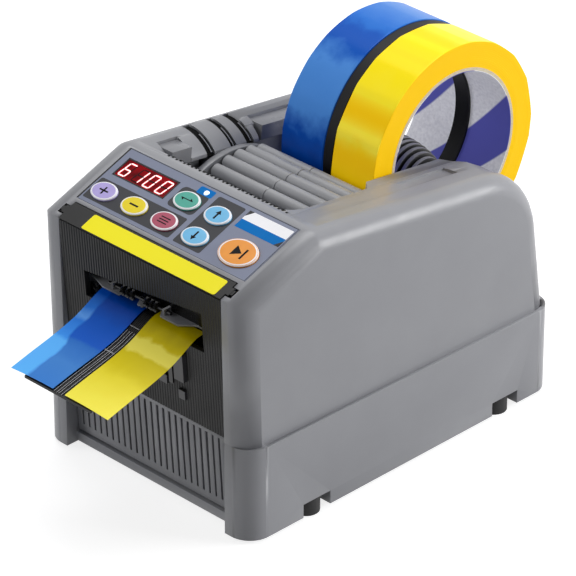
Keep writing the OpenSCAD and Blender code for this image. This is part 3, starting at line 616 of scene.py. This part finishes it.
# %% Key symbols
def stroke(x0, y0, x1, y1, width):
    """The outline of a bar from one point to another."""
    start, end = Vector((x0, y0)), Vector((x1, y1))
    along = (end - start).normalized() * (width / 2)
    side = Vector((-along.y, along.x))
    return [tuple(corner) for corner in (start - side, end - side, end + side, start + side)]


ARROW_UP = [(-0.5, -2.7), (0.5, -2.7), (0.5, 0.5), (1.5, 0.5), (0.0, 2.7), (-1.5, 0.5), (-0.5, 0.5)]
SYMBOLS = {
    "plus": [stroke(-2.6, 0, 2.6, 0, 0.9), stroke(0, -2.2, 0, 2.2, 0.9)],
    "minus": [stroke(-2.6, 0, 2.6, 0, 0.9)],
    "select": [stroke(-2.8, height, 2.8, height, 0.6) for height in (1.5, 0, -1.5)],
    "mode": [stroke(-3.4, 0.3, 3.4, 0.3, 0.5), [(3.4, 0.3), (1.8, 1.7), (1.8, 0.3)],
             [(-3.4, 0.3), (-1.8, -1.1), (-1.8, 0.3)]],
    "up": [ARROW_UP],
    "down": [[(x, -y) for x, y in reversed(ARROW_UP)]],
    "start": [[(-2.6, -3.0), (2.2, 0.0), (-2.6, 3.0)], stroke(3.4, -3.0, 3.4, 3.0, 1.1)],
}
symbol_ink = moulded("symbol_ink", (10, 9, 13), 0.5, 0.3, 0.003, 0.05, 0.1)
for key, outlines in SYMBOLS.items():
    (u, v), slot = KEYS[key][:2], KEYS[key][-1]
    marks = bmesh.new()
    for outline in outlines:
        join(marks, flat_shape(outline, 0.14 * MM))
    marks = moved(marks, on_slope(u * MM, v * MM, (CAP_TOP + DOME - 0.035) * MM))
    finish_piece("symbol_" + key, marks, symbol_ink, "key_" + key, slot, 20)

# %% [markdown]
# ## Digit display
# Four lit digits glow behind a dark red window. A digit has seven six-sided bars, leaned over
# like those of a real display, and each bar is a thin plate that glows. Bars that are off stay
# as barely visible dark ones. A wider, dimmer copy of the lit bars below them is their halo.

# %% Window, digit and lamp light
def glowing(name, size, detail, first, second, strength, roughness=0.4, **sockets):
    """A finish with its own light, blotched in two screen colours."""
    material, tree, shader = new_material(name, roughness, Emission_Strength=strength, **sockets)
    tone = blotched(tree, size, detail, srgb(*first), srgb(*second))
    set_inputs(shader, Base_Color=tone, Emission_Color=tone)
    return material


window_red = glowing("window_red", 6 * MM, 2, (64, 0, 4), (118, 0, 8), 0.9, 0.3,
                     Specular_IOR_Level=0.05)
digit_light = glowing("digit_light", 0.8 * MM, 1, (255, 214, 214), (255, 240, 238), 0.9)
digit_halo = glowing("digit_halo", 0.8 * MM, 1, (205, 14, 26), (226, 26, 36), 0.45)
digit_dark = moulded("digit_dark", (26, 0, 2), 0.6, 0.4, 0.002, 0.1, 0.1)
lamp_glow = glowing("lamp_glow", 1 * MM, 1, (214, 232, 255), (250, 252, 255), 0.9, 0.15, Coat_Weight=0.5)
dress(window_red, "display_module")
dress(lamp_glow, "indicator_lamp")

# %% Bars of a digit
DIGIT_HEIGHT = 7.8
DIGIT_WIDTH = 3.9
LEAN = tan(radians(9))
# The ends of each bar, in digit widths and half heights
BAR_ENDS = {"a": (0, 2, 1, 2), "b": (1, 1, 1, 2), "c": (1, 0, 1, 1), "d": (0, 0, 1, 0),
            "e": (0, 0, 0, 1), "f": (0, 1, 0, 2), "g": (0, 1, 1, 1)}


def bar_outline(x0, y0, x1, y1, width):
    """A bar with pointed ends, leaned over with the digit."""
    start = Vector((x0 * DIGIT_WIDTH, y0 * DIGIT_HEIGHT / 2))
    end = Vector((x1 * DIGIT_WIDTH, y1 * DIGIT_HEIGHT / 2))
    along = (end - start).normalized() * (width / 2)
    side = Vector((-along.y, along.x))
    first, last = start + along * 0.2, end - along * 0.2
    points = [first, first + along + side, last - along + side, last, last - along - side,
              first + along - side]
    return [(point.x + LEAN * point.y, point.y) for point in points]


print("a digit, mm:", DIGIT_WIDTH, DIGIT_HEIGHT)

# %% Digits that are lit and bars that are off
DIGITS = ((-46.6, "6"), (-38.4, "1"), (-31.2, "0"), (-23.4, "0"))
LIT = {"0": "abcdef", "1": "bc", "6": "acdefg"}
DIGIT_BASE = 33.6
DISPLAY_TOP = -0.2
BAR = 0.62


def bar_layer(name, material, width, rise, wanted):
    """The bars of all digits that are lit, or all that are off, as one piece."""
    shape = bmesh.new()
    for left, digit in DIGITS:
        for bar, ends in BAR_ENDS.items():
            if (bar in LIT[digit]) == wanted:
                outline = [(left + x, DIGIT_BASE + y) for x, y in bar_outline(*ends, width)]
                join(shape, flat_shape(outline, 0.08 * MM))
    shape = moved(shape, on_slope(0, 0, (DISPLAY_TOP + rise) * MM))
    finish_piece(name, shape, material, "case", "display", 20)


bar_layer("digits_off", digit_dark, BAR, 0.0, False)
bar_layer("digits_halo", digit_halo, BAR * 2.0, 0.005, True)
bar_layer("digits_lit", digit_light, BAR, 0.03, True)

# %% [markdown]
# ## Cover, label and outlet
# The cover is a dull black moulding whose ridges are already in the solid. The label is a plain
# yellow strip with rounded corners. Above the strips the outlet has a black glossy lip: one
# folded sheet, which stays on the case when the cover swings open.

# %% Cover and its label
LABEL = rectangle(-36.6, 46.8, 0.1, 9.4)
LABEL_THICK = 0.15
LABEL_REST = 0.4        # the top of the cover's folded strip, above the slope

dress(moulded("cover_black", (15, 15, 16), 0.46, 0.3, 0.006, 0.12, 0.3), "cover_shell")
dress(moulded("tray_black", (12, 12, 13), 0.4, 0.8, 0.004, 0.1, 0.3), "tray")
# The label's glow is painted light that keeps its yellow bright in shade.
label_film = moulded("label_film", (250, 238, 16), 0.45, 0.6, 0.004, 0.015, 0.3, glow=0.10)
dress(label_film, "cover_label")
place = on_slope(0, 0, (LABEL_REST + LABEL_THICK / 2) * MM)
label = moved(flat_shape(LABEL, LABEL_THICK * MM, 1.1), place)
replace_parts(finish_piece("label_skin", label, label_film, "cover", "label_yellow", 20), "cover_label")


# %% Bent sheets
def curved_sheet(columns, rows, place, thickness):
    """A thin sheet through the points place(u, v), with u and v running from 0 to 1."""
    shape = bmesh.new()
    bmesh.ops.create_grid(shape, x_segments=columns, y_segments=rows, size=0.5)
    for vertex in shape.verts:
        vertex.co = place(vertex.co.x + 0.5, vertex.co.y + 0.5)
    bmesh.ops.recalc_face_normals(shape, faces=shape.faces)
    bmesh.ops.solidify(shape, geom=list(shape.faces), thickness=thickness)
    return shape


def point_along(line, share):
    """The point of a line of (y, z) points at a share of its segments."""
    step = min(int(share * (len(line) - 1)), len(line) - 2)
    part = share * (len(line) - 1) - step
    (y0, z0), (y1, z1) = line[step], line[step + 1]
    return y0 + (y1 - y0) * part, z0 + (z1 - z0) * part


def bent_sheet(line, x0, x1, thickness, columns):
    """A sheet that follows a line of (y, z) points and runs from x0 to x1."""
    return curved_sheet(columns, len(line) - 1,
                        lambda u, v: (x0 + (x1 - x0) * u, *point_along(line, v)), thickness)


# %% Outlet lip
LIP_BENDS = ((4.1, -13.5), (6.4, -18.0), (8.6, -21.4), (8.8, -26.0))

gloss_black = moulded("gloss_black", (8, 8, 9), 0.25, 3, 0.004, 0.1, 0.2)
lip_line = [(FOLD_Y + y * MM, FOLD_Z + z * MM) for y, z in LIP_BENDS]
lip = bent_sheet(lip_line, -41 * MM, 42 * MM, 0.12 * MM, 4)
finish_piece("outlet_lip", lip, gloss_black, "case", "inner_plastic", 60)

# %% [markdown]
# ## Cut strips
# The two cut strips lie on the tray. A thin sheet along a smooth curve through the top line of
# each solid, with the tape's slight cross curl, turns them into film. Reading the line from the
# solid's own vertices avoids a second copy of it.

# %% Line of a strip
def upper_line(node):
    """The top line of a strip's solid, as (y, z) points from the back to the free end."""
    highest = {}
    for vertex in nodes[node].data.vertices:
        y = round(vertex.co.y / MM, 2)
        highest[y] = max(highest.get(y, -1), vertex.co.z)
    return [(y * MM, highest[y]) for y in sorted(highest, reverse=True)]


def smooth_line(points, steps=6):
    """A Catmull-Rom curve through the points."""
    closed = [points[0]] + points + [points[-1]]
    curve = []
    for a, b, c, d in zip(closed, closed[1:], closed[2:], closed[3:]):
        for step in range(steps):
            t = step / steps
            curve.append(tuple(0.5 * (2 * q + (r - p) * t + (2 * p - 5 * q + 4 * r - s) * t * t
                                      + (3 * q - p - 3 * r + s) * t ** 3) for p, q, r, s in zip(a, b, c, d)))
    curve.append(points[-1])
    return curve


print("points on the blue strip's line:", len(upper_line("strip_blue")))

# %% [markdown]
# ## Tape film
# Tape is a glossy film, and what one sees on it is mostly reflections. They are laid into its colour as soft
# bands of painted reflection and painted shade, fixed on the film so that they turn with it: round the axis
# on a roll, along the run on a cut strip. The fine rings on the side of a roll come from the distance to its
# axis. A faint painted glow of its own keeps the clear film bright.

# %% Recipes for wound and cut film
# The film's emission is a painted glow that keeps the tape bright in shade.
FILM = {"Specular_IOR_Level": 0.14, "Emission_Strength": 0.22}
STRIP_LEFT, STRIP_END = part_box("strip_blue")[0].xy
STRIP_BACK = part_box("strip_blue")[1].y
STRIP_RUN = STRIP_BACK - STRIP_END


def axis_parts(tree):
    """Distance from the roll's axis in metres, turn from the front in radians, and x."""
    x, y, z = place_parts(tree)
    from_y = calculate(tree, "SUBTRACT", ROLL_Y, y)
    from_z = calculate(tree, "SUBTRACT", z, ROLL_Z)
    square = calculate(tree, "ADD", calculate(tree, "MULTIPLY", from_y, from_y),
                       calculate(tree, "MULTIPLY", from_z, from_z))
    return calculate(tree, "SQRT", square), calculate(tree, "ARCTAN2", from_z, from_y), x


def wound_film(name, tread_stops, side):
    """Wound tape: reflections lie round the tread in bands, and the side shows its windings."""
    material, tree, shader = new_material(name, 0.3, **FILM)
    radius, turn, _ = axis_parts(tree)
    waver = spread(tree, noise(tree, 9 * MM, 3), -0.012, 0.012)
    way = calculate(tree, "MULTIPLY_ADD", turn, 0.5 / pi, 0.5)
    tread = bands(tree, calculate(tree, "ADD", way, waver), tread_stops)
    on_side = spread(tree, radius, 1, 0, ROLL_R - 0.7 * MM, ROLL_R - 0.35 * MM)
    layers = calculate(tree, "FRACT", calculate(tree, "DIVIDE", radius, 0.9 * MM))
    ring_tone = two_tone(tree, layers, shade(srgb(*side), 0.97), shade(srgb(*side), 1.02))
    tone = two_tone(tree, on_side, tread, ring_tone)
    gloss = spread(tree, on_side, 0.3, 0.5, 0, 1)
    set_inputs(shader, Base_Color=tone, Emission_Color=tone, Roughness=gloss)
    add_bump(tree, shader, calculate(tree, "MULTIPLY", layers, on_side), 0.03 * MM)
    return material


def strip_film(name, along_stops, edge_stops=None):
    """Cut tape: painted reflection and painted shade bands lie across it, and edge_stops adds a lighter
    painted reflection along its left side.
    """
    material, tree, shader = new_material(name, 0.28, **FILM)
    x, y, _ = place_parts(tree)
    waver = spread(tree, noise(tree, 7 * MM, 3), -0.02, 0.02)
    way = calculate(tree, "MULTIPLY", calculate(tree, "SUBTRACT", STRIP_BACK, y), 1 / STRIP_RUN)
    share = calculate(tree, "ADD", way, waver)
    tone = bands(tree, share, along_stops)
    if edge_stops:
        across = calculate(tree, "SUBTRACT", x, STRIP_LEFT)
        limit = calculate(tree, "ADD", across, calculate(tree, "MULTIPLY", waver, 30 * MM))
        widening = spread(tree, share, 6.5 * MM, 10.5 * MM, 0.5, 0.62)
        inside = spread(tree, calculate(tree, "SUBTRACT", limit, widening), 1, 0, -0.8 * MM, 0.8 * MM)
        tone = two_tone(tree, inside, tone, bands(tree, share, edge_stops))
    set_inputs(shader, Base_Color=tone, Emission_Color=tone)
    add_bump(tree, shader, noise(tree, 11 * MM, 1, (3, 1, 1)), 0.08 * MM)
    return material


print("strip run, mm:", round(STRIP_RUN / MM, 1))

# %% Film of the rolls: shares of a turn, 0.5 at the front and 0.75 on top
# The tread stops are painted reflections in light bands and painted shade towards the bottom and back; the
# last colour is the side's own.
roll_blue_film = wound_film("roll_blue_film", (
    (0.47, (0, 40, 110)), (0.53, (0, 66, 156)), (0.565, (66, 128, 204)), (0.64, (74, 134, 210)),
    (0.675, (0, 80, 178)), (0.70, (0, 80, 178)), (0.725, (34, 108, 200)), (0.80, (66, 128, 206)),
    (0.90, (10, 84, 180)), (1.0, (0, 40, 110))), (8, 74, 170))
roll_yellow_film = wound_film("roll_yellow_film", (
    (0.47, (246, 196, 4)), (0.53, (252, 214, 12)), (0.56, (254, 232, 64)), (0.60, (254, 232, 50)),
    (0.66, (254, 230, 20)), (0.75, (254, 230, 20)), (0.80, (254, 234, 70)), (0.90, (252, 214, 12)),
    (1.0, (246, 196, 4))), (250, 200, 8))

# %% Film of the strips: shares of the run, from the outlet to the free end
# Both strips are dark at the outlet end, painted shade under the lip; the lighter bands are painted
# reflections.
strip_blue_film = strip_film("strip_blue_film", (
    (0.02, (0, 24, 70)), (0.16, (0, 60, 154)), (0.30, (0, 80, 184)), (0.50, (0, 84, 190)),
    (0.54, (34, 104, 190)), (0.75, (62, 128, 204)), (1.0, (56, 124, 206))), (
    (0.10, (0, 60, 150)), (0.24, (30, 108, 204)), (0.31, (90, 152, 228)), (0.36, (34, 116, 214)),
    (0.53, (54, 140, 230)), (0.58, (88, 174, 248)), (1.0, (92, 180, 252))))
strip_yellow_film = strip_film("strip_yellow_film", (
    (0.02, (120, 108, 0)), (0.10, (150, 134, 0)), (0.24, (196, 178, 0)), (0.27, (226, 214, 84)),
    (0.37, (228, 216, 86)), (0.40, (204, 186, 0)), (0.56, (212, 194, 0)), (0.66, (228, 212, 44)),
    (1.0, (246, 234, 80))))

# %% Curled strips
STRIP_THICK = 0.12 * MM
CURL = 0.35 * MM


def curled_strip(node, name, material, slot, lean, drift=0.0):
    """Film along a strip's line, curled across, that leans and drifts towards its free end."""
    low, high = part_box(node)
    line = smooth_line(upper_line(node))

    def place(u, v):
        y, z = point_along(line, v)
        across = 2 * u - 1
        rise = lean * MM * v * across - CURL * (0.25 + 0.75 * v) * across * across
        x = low.x + (high.x - low.x) * u + drift * MM * v
        return x, max(y, low.y + 1.5 * STRIP_THICK), z + rise

    film = curved_sheet(12, len(line) - 1, place, STRIP_THICK)
    dress(material, node)
    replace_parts(finish_piece(name, film, material, "cover", slot, 60), node)


curled_strip("strip_blue", "strip_blue_skin", strip_blue_film, "film_blue", 0.5)
curled_strip("strip_yellow", "strip_yellow_skin", strip_yellow_film, "film_yellow", -0.4, 0.9)

# %% [markdown]
# ## Wound rolls
# A real roll is not a perfect cylinder: where air is trapped, the tread bridges small flats, and
# single layers stand out of the side by a hair. So a section with small random offsets at its
# sides is spun round the axis, and the tread is then pulled in between random corners.

# %% Flats of the tread
random.seed(11)


def flat_corners():
    """Angles of the corners between the flats, unevenly spaced."""
    corners = [0.0]
    while corners[-1] < tau - 0.2:
        corners.append(corners[-1] + radians(random.uniform(13, 24)))
    corners[-1] = tau
    return corners


def tread_dip(angle, corners):
    """How far, as a share of the radius, a flat lies inside the circle at this angle."""
    for start, end in zip(corners, corners[1:]):
        if start <= angle <= end:
            return 1 - cos((end - start) / 2) / cos(angle - (start + end) / 2)
    return 0.0


dip = tread_dip(radians(10), [0, radians(20)])
print("dip in a flat of 20 degrees, mm:", round(dip * ROLL_R / MM, 2))

# %% Rolls
ROLL_STEPS = 240
SIDE_STEPS = 10
WALL = CORE_R + 0.02 * MM


def wound_roll(node, name, material, slot, body, depth):
    """A spun section with uneven sides, whose tread is then pulled onto flats."""
    low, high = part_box(node)
    corners = flat_corners()
    reach = ROLL_R - 0.45 * MM - WALL
    side = [(WALL + reach * step / (SIDE_STEPS - 1), random.uniform(0.0, 0.12) * MM)
            for step in range(SIDE_STEPS)]
    side += [(ROLL_R - 0.12 * MM, 0.10 * MM), (ROLL_R, 0.45 * MM)]
    section = [(low.x + offset, ROLL_Y + radius, ROLL_Z) for radius, offset in side]
    section += [(high.x - offset, ROLL_Y + radius, ROLL_Z) for radius, offset in reversed(side)]
    shape = spun(section, True, (0, ROLL_Y, ROLL_Z), (1, 0, 0), ROLL_STEPS)
    for vertex in shape.verts:
        arm = Vector((vertex.co.y - ROLL_Y, vertex.co.z - ROLL_Z))
        share = max(0.0, (arm.length - WALL) / (ROLL_R - WALL))
        arm *= 1 - tread_dip(atan2(arm.y, arm.x) % tau, corners) * depth * share
        vertex.co.y, vertex.co.z = ROLL_Y + arm.x, ROLL_Z + arm.y
    print(node, "flats:", len(corners) - 1)
    dress(material, node)
    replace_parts(finish_piece(name, shape, material, body, slot, 12), node)


wound_roll("roll_blue", "roll_blue_wound", roll_blue_film, "film_blue", "blue_roll", 0.22)
wound_roll("roll_yellow", "roll_yellow_wound", roll_yellow_film, "film_yellow", "yellow_roll", 0.6)

# %% [markdown]
# ## Cardboard cores
# Each core is a plain tube, like its solid. It needs a pattern: pale paper with broad diagonal
# bands inside, and bare cardboard on the cut edge. Diagonal bands on a tube come from adding the
# way round it to the way along it.

# %% Cardboard cores
CORE_INNER = CORE_R - 1.8 * MM
BAND_PITCH = tau * CORE_INNER / 4

# The card's emission is a painted glow that keeps the cores bright in shade.
card, tree, shader = new_material("card", 0.6, Emission_Strength=0.30)
radius, turn, x = axis_parts(tree)
along = calculate(tree, "ADD", calculate(tree, "MULTIPLY", turn, CORE_INNER),
                  calculate(tree, "MULTIPLY", x, 1.1))
band = calculate(tree, "FRACT", calculate(tree, "DIVIDE", along, BAND_PITCH))
in_band = spread(tree, calculate(tree, "PINGPONG", band, 0.5), 0, 1, 0.245, 0.265)
inside = spread(tree, radius, 1, 0, CORE_INNER + 0.2 * MM, CORE_INNER + 0.4 * MM)
paper = blotched(tree, 1.5 * MM, 4, srgb(204, 204, 210), srgb(224, 224, 228))
edge_card = blotched(tree, 0.6 * MM, 3, srgb(176, 164, 138), srgb(200, 188, 164))
tone = two_tone(tree, inside, edge_card, two_tone(tree, in_band, paper, srgb(80, 82, 164)))
set_inputs(shader, Base_Color=tone, Emission_Color=tone)
add_bump(tree, shader, noise(tree, 0.5 * MM, 4), 0.03 * MM)
dress(card, "core_blue", "core_yellow")

# %% [markdown]
# ## Works and small parts
# The parts behind the cover and in the base are rarely seen, yet a reused part may be opened.
# They get honest finishes: brushed plate, turned brass, zinc cans, nylon, green boards.

# %% Metals
def metal(name, colour, roughness, stretch=(1, 1, 1)):
    """Bare metal with a fine grain; stretch lays the grain in one direction."""
    material, tree, shader = new_material(name, roughness, Metallic=1.0)
    grain = noise(tree, 0.5 * MM, 3, stretch)
    tone = two_tone(tree, spread(tree, grain, 0, 1), shade(srgb(*colour), 0.9), shade(srgb(*colour), 1.06))
    gloss = spread(tree, grain, roughness - 0.06, roughness + 0.08)
    set_inputs(shader, Base_Color=tone, Roughness=gloss)
    add_bump(tree, shader, grain, 0.006 * MM)
    return material


steel = metal("steel", (186, 187, 190), 0.34, (1, 12, 1))
dress(steel, "frame_plate_left", "frame_plate_right", "tie_bars", "case_screws")
dress(metal("ground_steel", (205, 206, 210), 0.22, (20, 1, 1)), "fixed_blade", "moving_blade")
dress(metal("zinc", (150, 151, 156), 0.42), "cutter_motor", "feed_motor")
dress(metal("brass", (206, 170, 92), 0.3), "blade_pinion", "feed_pinion")

# %% Small plastic and rubber parts
dress(moulded("nylon", (226, 222, 206), 0.5, 0.5, 0.008, 0.03), "feed_gear")
dress(moulded("star_black", (20, 20, 22), 0.3, 0.5, 0.004, 0.1), "star_wheels")
dress(moulded("socket_black", (24, 24, 26), 0.35, 0.5, 0.006, 0.1), "power_inlet", "power_rocker")
dress(moulded("foot_rubber", (30, 30, 31), 0.75, 0.4, 0.03, 0.1), "rubber_feet")

# %% Circuit boards: green lacquer, with lighter copper tracks in straight lanes
board_green, tree, shader = new_material("board_green", 0.3, Coat_Weight=0.3)
lanes = add_node(tree, "TexBrick", Vector=object_coordinates(tree), Scale=1, Brick_Width=9 * MM,
                 Row_Height=2.2 * MM, Mortar_Size=0.25 * MM, Mortar=srgb(70, 140, 88),
                 Color1=srgb(22, 92, 50), Color2=srgb(18, 82, 45))
set_input(shader, "Base Color", lanes.outputs["Color"])
add_bump(tree, shader, lanes.outputs["Fac"], 0.03 * MM)
dress(board_green, "main_board", "panel_board")

# %% [markdown]
# ## Bits and lines round the outlet
# A dark sensor eye, a bar and a tab sit on the cover below the outlet, as thin plates on its
# face. The tray has fine light lines between the strips and two rows of dashes; each line is a
# narrow bent sheet on the tray's own top line.

# %% Bits under the outlet
COVER_TILT = atan(0.0707)
FOLD_HEIGHT = 118.2 * MM        # of the fold line above the underside of the base
ON_COVER = Matrix.Translation((0, FOLD_Y, FOLD_Z)) @ Matrix.Rotation(COVER_TILT + pi / 2, 4, "X")
EYE = [(1.9 * cos(tau * step / 28), 3.6 * sin(tau * step / 28)) for step in range(28)]

sensor_dark = moulded("sensor_dark", (14, 14, 16), 0.18, 1, 0.003, 0.1)
SENSOR_BITS = (
    ("sensor_eye", EYE, 0.0, 23.5, 75.5, sensor_dark),
    ("sensor_bar", rectangle(-1.2, 1.2, -4.8, 4.8), 0.5, 16.5, 66.0, sensor_dark),
    ("sensor_tab", rectangle(-2.4, 2.4, -1.9, 1.9), 0.5, 21.5, 69.5, shaded_inner_grey),
)
for name, outline, corner, x, z, material in SENSOR_BITS:
    place = ON_COVER @ Matrix.Translation((x * MM, z * MM - FOLD_HEIGHT, 0.6 * MM))
    bit = moved(flat_shape(outline, 1.0 * MM, corner), place)
    finish_piece(name, bit, material, "cover", "inner_plastic", 30)

# %% Lines on the tray
LINE_COUNT = 4
LINE_LEFT = -1.15
LINE_PITCH = 1.5
LINE_HALF = 0.11 * MM
RIB_HEIGHT = 0.3 * MM        # every other line lies between two ribs of the tray

line_grey = moulded("line_grey", (200, 200, 206), 0.4, 0.5, 0.003, 0.05)
tray_line = upper_line("tray")
tray_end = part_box("tray")[0].y + 0.15 * MM
front_part = [(max(y, tray_end), z) for y, z in tray_line if y < FOLD_Y - 1 * MM]
lines = bmesh.new()
for number in range(LINE_COUNT):
    drop = RIB_HEIGHT if number % 2 else 0
    middle = (LINE_LEFT + LINE_PITCH * number) * MM
    course = [(y, z - drop + 0.04 * MM) for y, z in front_part]
    join(lines, bent_sheet(course, middle - LINE_HALF, middle + LINE_HALF, 0.10 * MM, 1))
finish_piece("tray_lines", lines, line_grey, "cover", "cover_plastic", 40)

# %% Dashes on the tray
DASH_COUNT = 12
DASH_LEFT = -1.6
DASH_PITCH = 0.5
DASH_ROWS = (-3.8, -18.8)


def height_at(line, y):
    """The height of a line of (y, z) points at y; the points run from the back to the front."""
    for (y0, z0), (y1, z1) in zip(line, line[1:]):
        if y1 <= y <= y0:
            return z0 + (z1 - z0) * (y - y0) / (y1 - y0)
    return line[-1][1]


dash_white = moulded("dash_white", (222, 222, 226), 0.4, 0.5, 0.003, 0.03)
dashes = bmesh.new()
for row in DASH_ROWS:
    y = FOLD_Y + row * MM
    for number in range(DASH_COUNT):
        dash = flat_shape(rectangle(-0.14, 0.14, -0.25, 0.25), 0.2 * MM)
        spot = ((DASH_LEFT + DASH_PITCH * number) * MM, y, height_at(tray_line, y) + 0.12 * MM)
        join(dashes, moved(dash, Matrix.Translation(spot)))
finish_piece("tray_dashes", dashes, dash_white, "cover", "cover_plastic", 20)

# %% [markdown]
# ## Wall slots and comb
# The three slots across the left wall and the notches along the lip look black, because little light gets
# in. A matt black sheet a little below the surface is painted shade that looks the same from any side, and a
# thin light strip along the lower half of each slot is a painted highlight on its edge. The comb has dark
# plates of painted shade in its notches, and a smaller painted shade mark between each two.

# %% Slot liners
BARREL_X = -56 * MM
BARREL_R = 19.3 * MM
RIDGE_Y = 47.1 * MM
RIDGE_RISE = 17.42 * MM
WALL_FALL = tan(radians(7.3))
WALL_SLOTS = ((80.4, 4.8), (95.4, 3.5), (105.1, 4.6))


def crest_height(y):
    """The height of the case's top line, y metres behind the fold line."""
    return FOLD_Z + RIDGE_RISE - (y - RIDGE_Y) * WALL_FALL


def barrel_patch(y_from, y_to, across_from, across_to, depth):
    """A curved patch that lies depth below the round top of the left wall."""
    def place(u, v):
        y = y_from + (y_to - y_from) * u
        across = across_from + (across_to - across_from) * v
        height = sqrt((BARREL_R - depth) ** 2 - across ** 2) - BARREL_R
        return BARREL_X + across, FOLD_Y + y, crest_height(y) + height
    return curved_sheet(2, 18, place, 0.3 * MM)


# Painted shade: black sheets below the wall's top stand for the shade in the slots, and thin light grey
# strips are painted highlights on their edges.
shade_black = moulded("shade_black", (9, 9, 10), 0.8, 0.6, 0.01, 0.1, 0.1)
shade_sheets = bmesh.new()
edge_highlights = bmesh.new()
for start, width in WALL_SLOTS:
    y0, y1 = start * MM, (start + width) * MM
    join(shade_sheets, barrel_patch(y0, y1, -1.2 * MM, 14.8 * MM, 1.5 * MM))
    join(edge_highlights, barrel_patch(y1 - 1.7 * MM, y1 - 1.1 * MM, 6.5 * MM, 14.6 * MM, 0.9 * MM))
finish_piece("slot_shade_sheets", shade_sheets, shade_black, "case", "inner_plastic", 40)
finish_piece("slot_edge_highlights", edge_highlights, shaded_inner_grey, "case", "inner_plastic", 40)

# %% Comb
NOTCH_COUNT = 16
NOTCH_LEFT = -35.9
NOTCH_PITCH = 4.9


def comb_row(count, left, y, half, sink, tilt):
    """Adds a row of square plates along the lip, sunk below its surface, to the comb."""
    for number in range(count):
        plate = flat_shape(rectangle(-half, half, -half, half), 0.3 * MM)
        spot = ((left + NOTCH_PITCH * number) * MM, FOLD_Y + y, crest_height(y) - sink)
        join(comb, moved(plate, Matrix.Translation(spot) @ Matrix.Rotation(tilt, 4, "X")))


# Both rows are painted shade: dark plates in the notches and smaller ones between them.
comb = bmesh.new()
comb_row(NOTCH_COUNT, NOTCH_LEFT, 52.7 * MM, 1.0, 0.7 * MM, 0)
comb_row(NOTCH_COUNT - 1, NOTCH_LEFT + NOTCH_PITCH / 2, 52.9 * MM, 0.8, 0.12 * MM,
         -atan(WALL_FALL))
finish_piece("comb_shadow", comb, shade_black, "case", "inner_plastic", 20)
